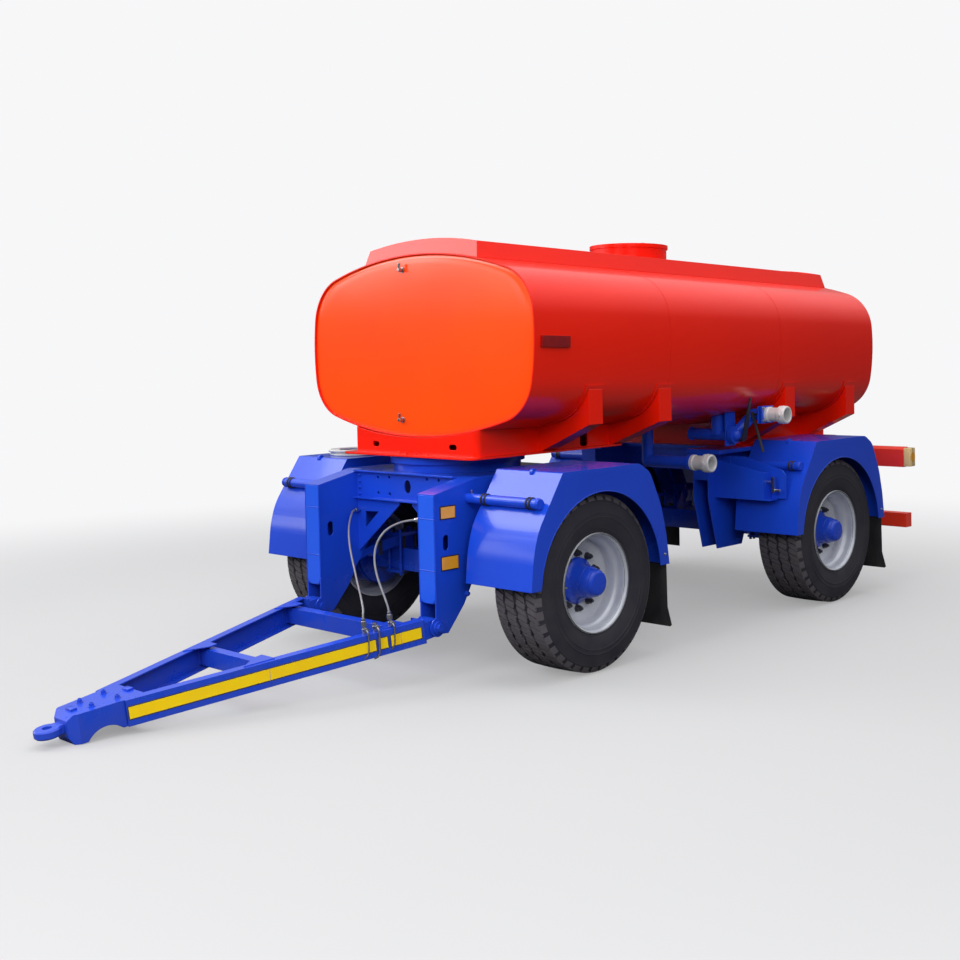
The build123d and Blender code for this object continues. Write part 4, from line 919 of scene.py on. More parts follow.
@dataclass
class HoseHank:
    """Spare air hose, coiled on the right front fender and tied."""

    node: str = "hose_hank"
    diameter: float = 0.0125
    pitch: float = 0.0132
    layers: int = 3
    turns: int = 5
    per_turn: int = 20

    def build(self, shop: Shop) -> None:
        """Builds the coil.

        Args:
            shop: The shop that holds the frame.
        """
        low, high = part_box(self.node)
        middle = (low + high) / 2
        outer = (high.x - low.x) / 2 - self.diameter / 2 - 0.001
        inner = outer - self.pitch * self.turns
        points = []
        for layer in range(self.layers):
            height = low.z + self.diameter / 2 + 0.0005 + layer * self.pitch
            steps = self.turns * self.per_turn
            for step in range(steps):
                share = step / steps
                inwards = share if layer % 2 == 0 else 1 - share
                radius = outer + (inner - outer) * inwards
                angle = tau * (layer * self.turns + step / self.per_turn)
                rise = self.pitch * max(0.0, (step + 6 - steps) / 6) if layer < self.layers - 1 else 0.0
                points.append(
                    (middle.x + radius * cos(angle), middle.y + radius * sin(angle), height + rise * 0.9)
                )
        line = nurbs("hank_line", points)
        bm = bmesh.new()
        pipe(bm, points, self.diameter / 2)
        piece = shop.add(bm, "hose_coil", "bogie", Slot.HANK, 60.0)
        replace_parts(piece, self.node)


@dataclass
class Tank:
    """Tank shell, its front and rear dishes, weld beads, the lid's dress and the taps' handles."""

    front_x: float = 0.0
    rim: float = 0.014
    crown: float = 0.010
    seams_back: tuple[float, ...] = (1.30, 2.62)
    bead: float = 0.0045
    lid_back: float = 2.156
    lid_top: float = 0.770

    def place(self) -> Matrix:
        """Gives the tank's frame: X back along the tank, Y to the right, Z up, from its front face.

        Returns:
            The frame's matrix.
        """
        along = Vector((cos(TANK_SLOPE), 0, sin(TANK_SLOPE)))
        up = Vector((-sin(TANK_SLOPE), 0, cos(TANK_SLOPE)))
        turn = Matrix((-along, Vector((0, -1, 0)), up)).transposed().to_4x4()
        return Matrix.Translation((self.front_x, 0, TANK_MID_Z)) @ turn

    def section_cut(self, shop: Shop, back: float, width: float) -> BMesh:
        """Gives a band of the tank's skin between two cuts across it.

        Args:
            shop: The shop that holds the frame.
            back: Distance of the first cut behind the front face.
            width: Distance between the cuts.

        Returns:
            The open band.
        """
        bm = shop.copy_of("tank_shell")
        place = self.place()
        normal = place.to_3x3() @ Vector((1, 0, 0))
        for offset, outer, inner in ((back, False, True), (back + width, True, False)):
            bmesh.ops.bisect_plane(
                bm, geom=list(bm.verts) + list(bm.edges) + list(bm.faces),
                plane_co=place @ Vector((offset, 0, 0)), plane_no=normal, clear_outer=outer,
                clear_inner=inner,
            )
        return bm

    def dish(self, shop: Shop, name: str, back: float, outwards: float) -> None:
        """Builds one crowned end plate in the shell's recess.

        Args:
            shop: The shop that holds the frame.
            name: The piece's name.
            back: Distance of the recess's floor behind the front face.
            outwards: Side that the crown faces, along the tank's X.
        """
        bm = self.section_cut(shop, TANK_LENGTH * 0.2, 0.001)
        place = self.place()
        inverse = place.inverted()
        rims = [e for e in bm.edges if e.is_boundary]
        near = min((inverse @ v.co).x for e in rims for v in e.verts)
        loop = [e for e in rims if all(abs((inverse @ v.co).x - near) < 2e-4 for v in e.verts)]
        keep = {v for e in loop for v in e.verts}
        bmesh.ops.delete(bm, geom=[v for v in bm.verts if v not in keep], context="VERTS")
        bmesh.ops.delete(bm, geom=list(bm.faces), context="FACES_ONLY")
        for vert in bm.verts:
            local = inverse @ vert.co
            vert.co = Vector((back, local.y, local.z))
        shrink = 1 - 0.0105 / 1.028
        bmesh.ops.scale(bm, vec=(1, shrink, 1 - 0.0105 / 0.58), verts=bm.verts)
        edges = list(bm.edges)
        # Rings inwards: (share of the rim's size left, rise as a share of the crown)
        before = (1.0, 0.0)
        for share, rise in ((0.985, 0.42), (0.955, 0.62), (0.9, 0.72), (0.7, 0.88), (0.4, 0.97), (0.12, 1.0)):
            made = bmesh.ops.extrude_edge_only(bm, edges=edges)
            verts = [item for item in made["geom"] if isinstance(item, bmesh.types.BMVert)]
            edges = [item for item in made["geom"] if isinstance(item, bmesh.types.BMEdge)]
            factor = share / before[0]
            bmesh.ops.scale(bm, vec=(1, factor, factor), verts=verts)
            bmesh.ops.translate(bm, verts=verts, vec=(outwards * self.crown * (rise - before[1]), 0, 0))
            before = (share, rise)
        bmesh.ops.contextual_create(bm, geom=edges)
        bmesh.ops.transform(bm, matrix=place, verts=bm.verts)
        # The dishes take the tank red's lit copy, which paints light on the ends
        piece = shop.add(bm, name, "chassis", Slot.TANK_END_LIT, 60.0)
        normals_up = piece.data.polygons[-1].normal.dot(place.to_3x3() @ Vector((outwards, 0, 0)))
        if normals_up < 0:
            piece.data.flip_normals()

    def seams(self, shop: Shop) -> None:
        """Builds the weld beads round the shell.

        Args:
            shop: The shop that holds the frame.
        """
        bm = bmesh.new()
        for back in self.seams_back:
            band = self.section_cut(shop, back, self.bead)
            bmesh.ops.solidify(band, geom=list(band.faces), thickness=-0.0012)
            mesh = bpy.data.meshes.new("seam_part")
            band.to_mesh(mesh)
            band.free()
            bm.from_mesh(mesh)
        shop.add(bm, "tank_weld_beads", "chassis", Slot.TANK, 50.0)

    def lid(self, shop: Shop) -> None:
        """Builds the lid's raised ring, its flush handle and its bolts.

        Args:
            shop: The shop that holds the frame.
        """
        place = self.place()
        bm = bmesh.new()
        half = ((-0.07, -0.004), (-0.07, 0.003), (-0.05, 0.005))
        bends = (*half, *((-y, z) for y, z in reversed(half)))
        handle = [place @ Vector((self.lid_back + 0.13, y, self.lid_top + z)) for y, z in bends]
        pipe(bm, [tuple(p) for p in handle], 0.004)
        centre = place @ Vector((self.lid_back, 0, self.lid_top))
        up = place.to_3x3() @ Vector((0, 0, 1))
        bar(bm, centre - up * 0.002, centre + up * 0.005, 0.055, 32, 0.050)
        ring(bm, tuple(centre + up * -0.003), tuple(up), 0.245, 0.004, 64, 1.0)
        shop.add(bm, "lid_handle_and_vent", "lid", Slot.TANK, 35.0)
        bm = bmesh.new()
        for turn in (60, 120, 180, 240, 300):
            angle = radians(turn + 180)
            seat = place @ Vector((self.lid_back + 0.272 * cos(angle), 0.272 * sin(angle), self.lid_top))
            bar(bm, seat - up * 0.001, seat + up * 0.0015, 0.016, 20)
            bar(bm, seat, seat + up * 0.0035, 0.0085, 6)
        shop.add(bm, "lid_bolts", "lid", Slot.STEEL)

    def fittings(self, shop: Shop) -> None:
        """Builds the taps' handles.

        Args:
            shop: The shop that holds the frame.
        """
        place = self.place()
        bm = bmesh.new()
        for height in (0.486, -0.471):
            seat = place @ Vector((0.002, 0.123, height))
            out = place.to_3x3() @ Vector((-1, 0, 0))
            up = place.to_3x3() @ Vector((0, 0, 1))
            bar(bm, seat - out * 0.004, seat + out * 0.004, 0.019, 24)
            bar(bm, seat + out * 0.006, seat + out * 0.016, 0.0135, 6)
            bar(bm, seat + out * 0.020 - up * 0.012, seat + out * 0.020 + up * 0.012, 0.0095, 16)
            bar(bm, seat + out * 0.026 + up * 0.030, seat + out * 0.026 + up * 0.042, 0.0095, 16)
        shop.add(bm, "tap_details", "chassis", Slot.STEEL)

    def build(self, shop: Shop) -> None:
        """Builds everything on the tank.

        Args:
            shop: The shop that holds the frame.
        """
        self.front_x = shop.axle_x("front") + TANK_AHEAD
        shell = shop.add(shop.copy_of("tank_shell"), "tank_skin", "chassis", Slot.TANK, 30.0)
        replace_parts(shell, "tank_shell")
        self.dish(shop, "tank_front_dish", self.rim - 0.0005, -1)
        self.dish(shop, "tank_rear_dish", TANK_LENGTH - self.rim + 0.0005, 1)
        self.seams(shop)
        self.lid(shop)
        self.fittings(shop)


@dataclass
class Wheel:
    """Tyre with tread and sidewall rings, and the rim and hub dress."""

    wheel: str
    blocks: int = 40
    floor_r: float = 0.5195
    top_r: float = 0.5355
    # The blocks are rooted a little under the tread's floor, and their tops fall to the shoulders
    root_share: float = 0.995
    crown: float = 0.0045
    # Sidewall from the bead to the shoulder: (out from the wheel's middle, radius)
    wall: list[tuple[float, float]] = field(
        default_factory=lambda: [
            (0.1480, 0.2895), (0.1640, 0.2960), (0.1700, 0.3060), (0.1745, 0.3160), (0.1735, 0.3185),
            (0.1765, 0.3210), (0.1830, 0.3450), (0.1880, 0.3700), (0.1905, 0.3905), (0.1925, 0.3920),
            (0.1925, 0.3960), (0.1908, 0.3975), (0.1908, 0.4180), (0.1922, 0.4195), (0.1918, 0.4235),
            (0.1898, 0.4250), (0.1870, 0.4500), (0.1835, 0.4720), (0.1815, 0.4860), (0.1828, 0.4870),
            (0.1812, 0.4930), (0.1762, 0.4960), (0.1680, 0.5090), (0.1590, 0.5180), (0.1480, 0.5200),
            (0.1000, 0.5215), (0.0500, 0.5222),
        ]
    )

    # Shoulder lug: half its length along the tread, and its section of (out, radius)
    lug_half: float = 0.0265
    lug: tuple[tuple[float, float], ...] = (
        (0.150, 0.5305), (0.157, 0.5295), (0.1735, 0.507), (0.1775, 0.494), (0.165, 0.494)
    )
    nuts: int = 10
    nut_circle: float = 0.1675
    # Bell over the hub's neck and cap, and the plain face of the disc: (along the axle, radius)
    bell: list[tuple[float, float]] = field(
        default_factory=lambda: [
            (0.0180, 0.0), (0.0180, 0.1340), (0.0230, 0.1365), (0.0290, 0.1350), (0.0360, 0.1260),
            (0.0450, 0.1150), (0.0600, 0.1060), (0.0900, 0.1000), (0.1140, 0.0960), (0.1170, 0.0925),
            (0.1400, 0.0880), (0.1640, 0.0815), (0.1680, 0.0770), (0.1820, 0.0735), (0.1880, 0.0670),
            (0.1900, 0.0560), (0.1905, 0.0),
        ]
    )
    disc_face: list[tuple[float, float]] = field(
        default_factory=lambda: [
            (0.0095, 0.1900), (0.0112, 0.1905), (0.0124, 0.1940), (0.0300, 0.2370), (0.0302, 0.2460),
            (0.0292, 0.2500), (0.0275, 0.2495), (0.0275, 0.2370), (0.0100, 0.1945),
        ]
    )

    def axle(self, shop: Shop) -> Matrix:
        """Gives the wheel's frame, Z outwards.

        Args:
            shop: Not used.

        Returns:
            The wheel's matrix.
        """
        low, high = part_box(f"tyre_{self.wheel}")
        middle = (low + high) / 2
        side = 1 if middle.y > 0 else -1
        return Matrix.Translation(middle) @ Matrix.Rotation(-side * pi / 2, 4, "X")

    def tread_outlines(self) -> list[list[tuple[float, float]]]:
        """Gives the blocks of one pitch as outlines of (across, along the tread).

        Returns:
            Outlines of one pitch's blocks.
        """
        pitch = tau * self.top_r / self.blocks
        zig, slot, sipe = 0.012, 0.0055, 0.0032
        outlines = []
        # Row of blocks: (inner edge, outer edge, lean of the slots, shift along the tread)
        for inner, outer, lean, shift in (
            (0.005, 0.068, 0.026, 0.0), (0.086, 0.1560, 0.030, 0.5),
            (-0.005, -0.068, -0.026, 0.5), (-0.086, -0.1560, -0.030, 0.0),
        ):
            sign = 1 if outer > 0 else -1
            start = shift * pitch
            for low, high in ((slot, pitch / 2 - sipe), (pitch / 2 + sipe, pitch - slot)):
                bend_low = zig * (1 - abs(low / pitch - 0.5) * 2)
                bend_high = zig * (1 - abs(high / pitch - 0.5) * 2)
                far = 0.0 if abs(outer) > 0.1 else 1.0
                outlines.append(
                    [
                        (inner + sign * bend_low, start + low - lean / 2),
                        (outer + sign * bend_low * far, start + low + lean / 2),
                        (outer + sign * bend_high * far, start + high + lean / 2),
                        (inner + sign * bend_high, start + high - lean / 2),
                    ]
                )
        return outlines

    def tyre(self, shop: Shop) -> None:
        """Builds the tyre.

        Args:
            shop: The shop that holds the frame.
        """
        axle = self.axle(shop)
        bm = bmesh.new()
        other = [(-out, radius) for out, radius in reversed(self.wall)]
        lathe(bm, self.wall + other, axle, 120)
        root_r = self.floor_r * self.root_share
        for outline in self.tread_outlines():
            verts = []
            for across, along in outline:
                angle = along / self.top_r
                verts.append(Vector((root_r * cos(angle), root_r * sin(angle), across)))
            lift = Vector((self.top_r - root_r, 0, 0))
            middle = sum((atan2(v.y, v.x) for v in verts)) / len(verts)
            lift.rotate(Matrix.Rotation(middle, 3, "Z"))
            block = bmesh.new()
            outline_plate(block, verts, lift)
            for vert in block.verts:
                radius = hypot(vert.co.x, vert.co.y)
                if radius > self.floor_r + 0.004:
                    grow = (self.top_r - self.crown * (vert.co.z / 0.156) ** 2) / radius
                    vert.co.x *= grow
                    vert.co.y *= grow
            bmesh.ops.recalc_face_normals(block, faces=block.faces)
            for face in block.faces:
                face.material_index = 1
            for number in range(self.blocks):
                copy = block.copy()
                turn = axle @ Matrix.Rotation(tau * number / self.blocks, 4, "Z")
                bmesh.ops.transform(copy, matrix=turn, verts=copy.verts)
                mesh = bpy.data.meshes.new("block")
                copy.to_mesh(mesh)
                copy.free()
                bm.from_mesh(mesh)
                bpy.data.meshes.remove(mesh)
            block.free()
        # Shoulder lugs between the tread and the sidewall
        for sign in (1, -1):
            for number in range(self.blocks):
                share = (number + (0.5 if sign > 0 else 0.0)) / self.blocks
                turn = axle @ Matrix.Rotation(tau * share, 4, "Z")
                points = [turn @ Vector((radius, -self.lug_half, sign * out)) for out, radius in self.lug]
                for face in outline_plate(bm, points, turn.to_3x3() @ Vector((0, 2 * self.lug_half, 0))):
                    face.material_index = 1
        piece = shop.add(
            bm, f"tyre_with_tread_{self.wheel}", f"wheel_{self.wheel}", Slot.TYRE, 28.0, (Slot.TREAD,)
        )
        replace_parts(piece, f"tyre_{self.wheel}")

    def dress(self, shop: Shop) -> None:
        """Builds the wheel nuts, the valve, the rim's bright lip and the hub cap's rings.

        Args:
            shop: The shop that holds the frame.
        """
        axle = self.axle(shop)
        bm = bmesh.new()
        out = axle.to_3x3() @ Vector((0, 0, 1))
        for number in range(self.nuts):
            turn = axle @ Matrix.Rotation(tau * (number + 0.5) / self.nuts, 4, "Z")
            seat = turn @ Vector((self.nut_circle, 0, 0.010))
            bar(bm, seat - out * 0.001, seat + out * 0.008, 0.0240, 24, 0.0225)
            bar(bm, seat + out * 0.006, seat + out * 0.030, 0.0185, 6, 0.0180)
            bar(bm, seat + out * 0.028, seat + out * 0.044, 0.0105, 14, 0.0095)
        shop.add(bm, f"wheel_nuts_{self.wheel}", f"wheel_{self.wheel}", Slot.NUT, 35.0)
        bm = bmesh.new()
        lathe(bm, self.bell, axle, 64, closed=False)
        for along, radius in ((0.116, 0.0945), (0.166, 0.0795)):
            ring(bm, tuple(axle @ Vector((0, 0, along))), tuple(out), radius, 0.0022, 64)
        shop.add(bm, f"hub_bell_{self.wheel}", f"wheel_{self.wheel}", Slot.FRAME, 35.0)
        bm = bmesh.new()
        lathe(bm, self.disc_face, axle, 96)
        shop.add(bm, f"rim_disc_face_{self.wheel}", f"wheel_{self.wheel}", Slot.RIM, 35.0)
        bm = bmesh.new()
        for along, radius, wire in ((0.1735, 0.2955, 0.0040), (0.1570, 0.2800, 0.0018)):
            ring(bm, tuple(axle @ Vector((0, 0, along))), tuple(out), radius, wire, 96)
        stem = [(0.262, 0.0, 0.055), (0.250, 0.0, 0.068), (0.238, 0.0, 0.090), (0.236, 0.0, 0.128)]
        pipe(bm, [tuple(axle @ Vector(p)) for p in stem], 0.0042)
        cap = axle @ Vector((0.236, 0, 0.126))
        bar(bm, cap, cap + out * 0.016, 0.0062, 12)
        shop.add(bm, f"rim_lip_{self.wheel}", f"wheel_{self.wheel}", Slot.STEEL, 40.0)

    def smooth_nodes(self, shop: Shop) -> None:
        """Gives the rim and the hub smooth shading, as merged copies of their solids.

        Args:
            shop: The shop that holds the frame.
        """
        for node, slot in ((f"rim_{self.wheel}", Slot.RIM), (f"hub_{self.wheel}", Slot.FRAME)):
            piece = shop.add(shop.copy_of(node), f"{node}_turned", f"wheel_{self.wheel}", slot, 30.0)
            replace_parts(piece, node)

    def build(self, shop: Shop) -> None:
        """Builds one wheel.

        Args:
            shop: The shop that holds the frame.
        """
        self.tyre(shop)
        self.smooth_nodes(shop)
        self.dress(shop)


@dataclass
class Drawbar:
    """Tape, bolts, pipes and weld beads on the drawbar."""

    start: float = 0.085
    start_half: float = 0.592
    taper: float = 0.2625
    depth: float = 0.140
    # Pieces of the tape along the beam: (from, to)
    tape: tuple[tuple[float, float], ...] = ((0.112, 0.300), (0.322, 0.372), (0.394, 1.752))
    tape_half: float = 0.031
    border: float = 0.006
    # Bolts on the head, and lugs on its top: (along, across)
    head_bolts: tuple[tuple[float, float], ...] = ((1.76, 0.07), (1.76, -0.07), (1.90, 0.06), (1.90, -0.06))
    head_lugs: tuple[float, ...] = (1.66, 1.98)
    # Cross-members, and how far their webs' faces stand from the middle
    cross_members: tuple[float, ...] = (0.212, 0.985)
    web_face: float = 0.027
    # Small pipes over the beam: (along, drop down the web, radius)
    small_pipes: tuple[tuple[float, float, float], ...] = (
        (0.430, 0.10, 0.0048), (0.270, 0.09, 0.0048), (0.364, 0.115, 0.0065)
    )

    def place(self, shop: Shop) -> Matrix:
        """Gives the drawbar's frame: X along it, Y to the left, Z up.

        Args:
            shop: The shop that holds the frame.

        Returns:
            The frame's matrix.
        """
        tilt = asin(HINGE_Z / hypot(FOOT_AT, FOOT_DROP)) - atan(FOOT_DROP / FOOT_AT)
        origin = Vector((shop.axle_x("front") + HINGE_AHEAD, 0, HINGE_Z))
        return Matrix.Translation(origin) @ Matrix.Rotation(tilt, 4, "Y")

    def edge(self, along: float) -> float:
        """Gives the outer half width at a distance from the hinge."""
        return self.start_half - self.taper * (along - self.start)

    def web_place(self, shop: Shop, side: int) -> Matrix:
        """Gives the frame of one beam's outer web: X along it, Y outwards, Z up.

        Args:
            shop: The shop that holds the frame.
            side: 1 on the left, -1 on the right.

        Returns:
            The web's matrix.
        """
        angle = -side * atan(self.taper)
        at = Matrix.Translation((self.start, side * self.start_half, 0))
        flip = Matrix.Diagonal((1, side, 1, 1))
        return self.place(shop) @ at @ Matrix.Rotation(angle, 4, "Z") @ flip

    def build(self, shop: Shop) -> None:
        """Builds the drawbar's dress.

        Args:
            shop: The shop that holds the frame.
        """
        yellow, border = bmesh.new(), bmesh.new()
        stretch = hypot(1, self.taper)
        for side in (1, -1):
            web = self.web_place(shop, side)
            for low, high in self.tape:
                a, b = (low - self.start) * stretch, (high - self.start) * stretch
                tall = self.tape_half + self.border
                brick(border, (a - self.border, -0.0005, -tall), (b + self.border, 0.0010, tall), place=web)
                brick(yellow, (a, 0.0005, -self.tape_half), (b, 0.0016, self.tape_half), place=web)
        shop.add(border, "tape_border", "drawbar", Slot.TAPE_EDGE)
        shop.add(yellow, "tape_strips", "drawbar", Slot.TAPE)
        place = self.place(shop)
        up = place.to_3x3() @ Vector((0, 0, 1))
        bm = bmesh.new()
        for along, across in self.head_bolts:
            seat = place @ Vector((along, across, self.depth / 2))
            hex_bolt(bm, tuple(seat), tuple(up), 0.026, 0.018)
        for along in self.head_lugs:
            low = (along - 0.018, -0.030, self.depth / 2 - 0.001)
            brick(bm, low, (along + 0.018, 0.030, self.depth / 2 + 0.012), 0.003, place)
        # Weld beads where the cross-members meet the beams
        for along in self.cross_members:
            for side in (1, -1):
                for face in (-self.web_face, self.web_face):
                    y = side * (self.edge(along + face) - 0.012)
                    a = place @ Vector((along + face, y, -0.050))
                    b = place @ Vector((along + face, y, 0.050))
                    bar(bm, tuple(a), tuple(b), 0.004, 8)
        shop.add(bm, "drawbar_bolts", "drawbar", Slot.FRAME)
        self.lines(shop)

    def lines(self, shop: Shop) -> None:
        """Builds the small pipes from the unions over the beam and down its web.

        Args:
            shop: The shop that holds the frame.
        """
        place = self.place(shop)
        bm = bmesh.new()
        for along, drop, thick in self.small_pipes:
            inner = self.edge(along) - 0.034
            outer = self.edge(along)
            high = self.depth / 2
            route = [
                (along, inner, high + 0.026), (along + 0.004, inner + 0.018, high + 0.027),
                (along + 0.008, outer + 0.002, high + 0.022), (along + 0.010, outer + 0.0095, high + 0.006),
                (along + 0.012, outer + 0.0085, high - 0.03), (along + 0.018, outer + 0.0075, high - drop),
                (along + 0.034, outer + 0.001, high - drop - 0.024),
                (along + 0.040, outer - 0.02, high - drop - 0.03),
            ]
            pipe(bm, [tuple(place @ Vector(p)) for p in route], thick)
            hub = place @ Vector((along, inner, high + 0.026))
            out = place.to_3x3() @ Vector((0.2, 1, 0))
            bar(bm, tuple(hub - out * 0.004), tuple(hub + out * 0.030), 0.0150, 6)
        shop.add(bm, "drawbar_lines", "drawbar", Slot.STEEL, 40.0)


@dataclass
class Ends:
    """Dress of one end's fenders, springs and flaps."""

    end: str
    body: str
    tube_r: float = 0.030
    # Distances out from the middle plane: the clamps' rings, their blocks, and the flap's bolts
    clamp_rings: tuple[float, ...] = (0.745, 0.772, 1.105, 1.130)
    clamp_blocks: tuple[float, ...] = (0.757, 1.117)
    flap_bolts: tuple[float, ...] = (0.80, 0.95, 1.10)
    wall_y: float = 1.2285
    arch_r: float = 0.5515
    axle_z: float = 0.536
    lip_foot: float = 0.60
    u_bolt: float = 0.052

    def build(self, shop: Shop) -> None:
        """Builds the dress of both sides.

        Args:
            shop: The shop that holds the frame.
        """
        x = shop.axle_x(self.end)
        self.fenders(shop, x)
        self.springs(shop, x)

    def fenders(self, shop: Shop, x: float) -> None:
        """Builds the tube's clamps and cap, the lug, the bolts and the arch's rolled lip.

        Args:
            shop: The shop that holds the frame.
            x: The axle's x.
        """
        tube_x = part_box(f"{self.end}_fender_tubes")[1].x - self.tube_r
        blue, bright, rings = bmesh.new(), bmesh.new(), bmesh.new()
        tube_z = self.tube_height(shop, tube_x)
        for side in (1, -1):
            for y in self.clamp_rings:
                ring(rings, (tube_x, side * y, tube_z), (0, 1, 0), 0.0315, 0.006, 32, 1.2)
            for y in self.clamp_blocks:
                brick(
                    blue, (tube_x - 0.050, side * y - 0.012, tube_z - 0.028),
                    (tube_x - 0.020, side * y + 0.012, tube_z + 0.010), 0.003,
                )
            bar(blue, (tube_x, side * 1.176, tube_z), (tube_x, side * 1.192, tube_z), 0.034, 28, 0.030)
            nipple = (tube_x, side * 0.640)
            bar(bright, (*nipple, tube_z + 0.028), (*nipple, tube_z + 0.050), 0.008, 12)
            for y in self.clamp_blocks:
                hex_bolt(bright, (tube_x - 0.035, side * y, tube_z - 0.027), (0, 0, -1), 0.014)
            # Lug on the front top edge
            bar(blue, (x + 0.345, side * 0.985, 1.215), (x + 0.345, side * 1.005, 1.215), 0.024, 24)
            hex_bolt(bright, (x - 0.590, side * 1.2295, 0.64), (0, side, 0), 0.013)
            for y in self.flap_bolts:
                hex_bolt(bright, (x - 0.637, side * y, 0.600), (-1, 0, 0), 0.013)
            # Rolled lip round the arch, cut off at the fender's feet
            lip = bmesh.new()
            ring(lip, (x, side * self.wall_y, self.axle_z), (0, 1, 0), self.arch_r, 0.0032, 120)
            bmesh.ops.bisect_plane(
                lip, geom=list(lip.verts) + list(lip.edges) + list(lip.faces),
                plane_co=(x, 0, self.lip_foot), plane_no=(0, 0, 1), clear_inner=True,
            )
            bmesh.ops.holes_fill(lip, edges=[e for e in lip.edges if e.is_boundary], sides=20)
            mesh = bpy.data.meshes.new("lip")
            lip.to_mesh(mesh)
            lip.free()
            blue.from_mesh(mesh)
        shop.add(blue, f"{self.end}_fender_clamps", self.body, Slot.FRAME)
        shop.add(bright, f"{self.end}_fender_bolts", self.body, Slot.STEEL)
        # The clamp rings take the near-black chassis finish as painted shade on the blue tube
        shop.add(rings, f"{self.end}_tube_clamp_rings", self.body, Slot.CHASSIS)

    def tube_height(self, shop: Shop, tube_x: float) -> float:
        """Gives the height of the front tube's middle.

        Args:
            shop: The shop that holds the frame.
            tube_x: The tube's middle in x.

        Returns:
            Its z.
        """
        node = shop.frame["nodes"][f"{self.end}_fender_tubes"]
        heights = [v.co.z for v in node.data.vertices if v.co.x > tube_x - 0.031]
        return (min(heights) + max(heights)) / 2

    def springs(self, shop: Shop, x: float) -> None:
        """Builds the U-bolts, their plates and nuts, and the leaves' clips.

        Args:
            shop: The shop that holds the frame.
            x: The axle's x.
        """
        bm = bmesh.new()
        middle = (RAIL_IN + RAIL_OUT) / 2
        for side in (1, -1):
            for dx in (-self.u_bolt, self.u_bolt):
                for dy in (-self.u_bolt, self.u_bolt):
                    y = side * middle + dy
                    bar(bm, (x + dx, y, 0.425), (x + dx, y, 0.735), 0.010, 12)
                    hex_bolt(bm, (x + dx, y, 0.452), (0, 0, -1), 0.026)
            low = (x - 0.085, side * middle - 0.075, 0.445)
            brick(bm, low, (x + 0.085, side * middle + 0.075, 0.461), 0.003)
            for dx in (-0.26, 0.26):
                for dy in (-0.050, 0.044):
                    y = side * middle + dy
                    brick(bm, (x + dx - 0.016, y, 0.585), (x + dx + 0.016, y + 0.006, 0.680))
        shop.add(bm, f"{self.end}_spring_clamps", self.body, Slot.CHASSIS)


@dataclass
class Bogie:
    """Lighter blue leg strips as painted light, beads, bolts and reflector borders of the front bogie."""

    border: float = 0.006
    # Front face of the legs ahead of the axle, and the strip on it
    leg_face: float = 0.779
    strip_foot: float = 0.500
    strip_top: float = 1.094
    strip_thick: float = 0.002
    seams: tuple[float, ...] = (0.955, 0.652)
    ring_bolts: int = 24
    ring_circle: float = 0.372
    # Bolts on the cross-member and on the cheeks: heights, and (ahead of the axle, height)
    web_bolts: tuple[float, ...] = (1.02, 1.06, 1.10, 1.14)
    cheek_bolts: tuple[tuple[float, float], ...] = ((-0.595, 0.48), (0.53, 0.49), (-0.52, 0.53))

    def build(self, shop: Shop) -> None:
        """Builds the bogie's dress.

        Args:
            shop: The shop that holds the frame.
        """
        x = shop.axle_x("front")
        self.bands(shop, x)
        self.bolts(shop, x)
        self.borders(shop)

    def borders(self, shop: Shop) -> None:
        """Builds the dark border behind each amber reflector.

        Args:
            shop: The shop that holds the frame.
        """
        bm = bmesh.new()
        for low, high in shop.solid_boxes("bogie_reflectors"):
            back, front = sorted((low.y, high.y), key=abs)
            edge_y = sorted((back, back + (front - back) * 0.6))
            corner = (low.x - self.border, edge_y[0], low.z - self.border)
            brick(bm, corner, (high.x + self.border, edge_y[1], high.z + self.border))
        shop.add(bm, "reflector_borders", "bogie", Slot.DARK)

    def bands(self, shop: Shop, x: float) -> None:
        """Builds the strip on each leg's front, rounded at its foot and lighter blue as painted light on the
        front face, and its bright seams.

        Args:
            shop: The shop that holds the frame.
            x: The axle's x.
        """
        bm = bmesh.new()
        middle, half = (RAIL_IN + RAIL_OUT) / 2, (RAIL_OUT - RAIL_IN) / 2 - 0.006
        face = x + 0.7795
        for side in (1, -1):
            outline = [Vector((face, side * middle + half * y, self.strip_top)) for y in (-1, 1)]
            for step in range(25):
                angle = pi * step / 24
                low = self.strip_foot - 0.62 * half * sin(angle)
                outline.append(Vector((face, side * middle + half * cos(angle), low)))
            outline_plate(bm, outline, Vector((self.strip_thick, 0, 0)))
        shop.add(bm, "leg_front_strips", "bogie", Slot.BAND_LIT, 20.0)
        bm = bmesh.new()
        for side in (1, -1):
            for z in self.seams:
                start = (x + 0.781, side * (RAIL_IN + 0.004), z)
                bar(bm, start, (x + 0.781, side * (RAIL_OUT - 0.004), z), 0.003, 8)
            for y in (RAIL_IN, RAIL_OUT):
                edge = (x + self.leg_face, side * y)
                bar(bm, (*edge, 0.46), (*edge, 1.09), 0.0035, 8)
        shop.add(bm, "leg_weld_beads", "bogie", Slot.FRAME, 30.0)

    def bolts(self, shop: Shop, x: float) -> None:
        """Builds the bolts of the slewing ring, the cross-member and the cheeks.

        Args:
            shop: The shop that holds the frame.
            x: The axle's x.
        """
        bm = bmesh.new()
        for number in range(self.ring_bolts):
            angle = tau * number / self.ring_bolts
            seat = (x + self.ring_circle * cos(angle), self.ring_circle * sin(angle), RAIL_TOP - 0.010)
            hex_bolt(bm, seat, (0, 0, -1), 0.024)
        for side in (1, -1):
            for z in self.web_bolts:
                hex_bolt(bm, (x + 0.460, side * 0.440, z), (1, 0, 0), 0.018)
            for dx, z in self.cheek_bolts:
                hex_bolt(bm, (x + dx, side * RAIL_OUT, z), (0, side, 0), 0.026)
        shop.add(bm, "bogie_bolts", "bogie", Slot.FRAME)


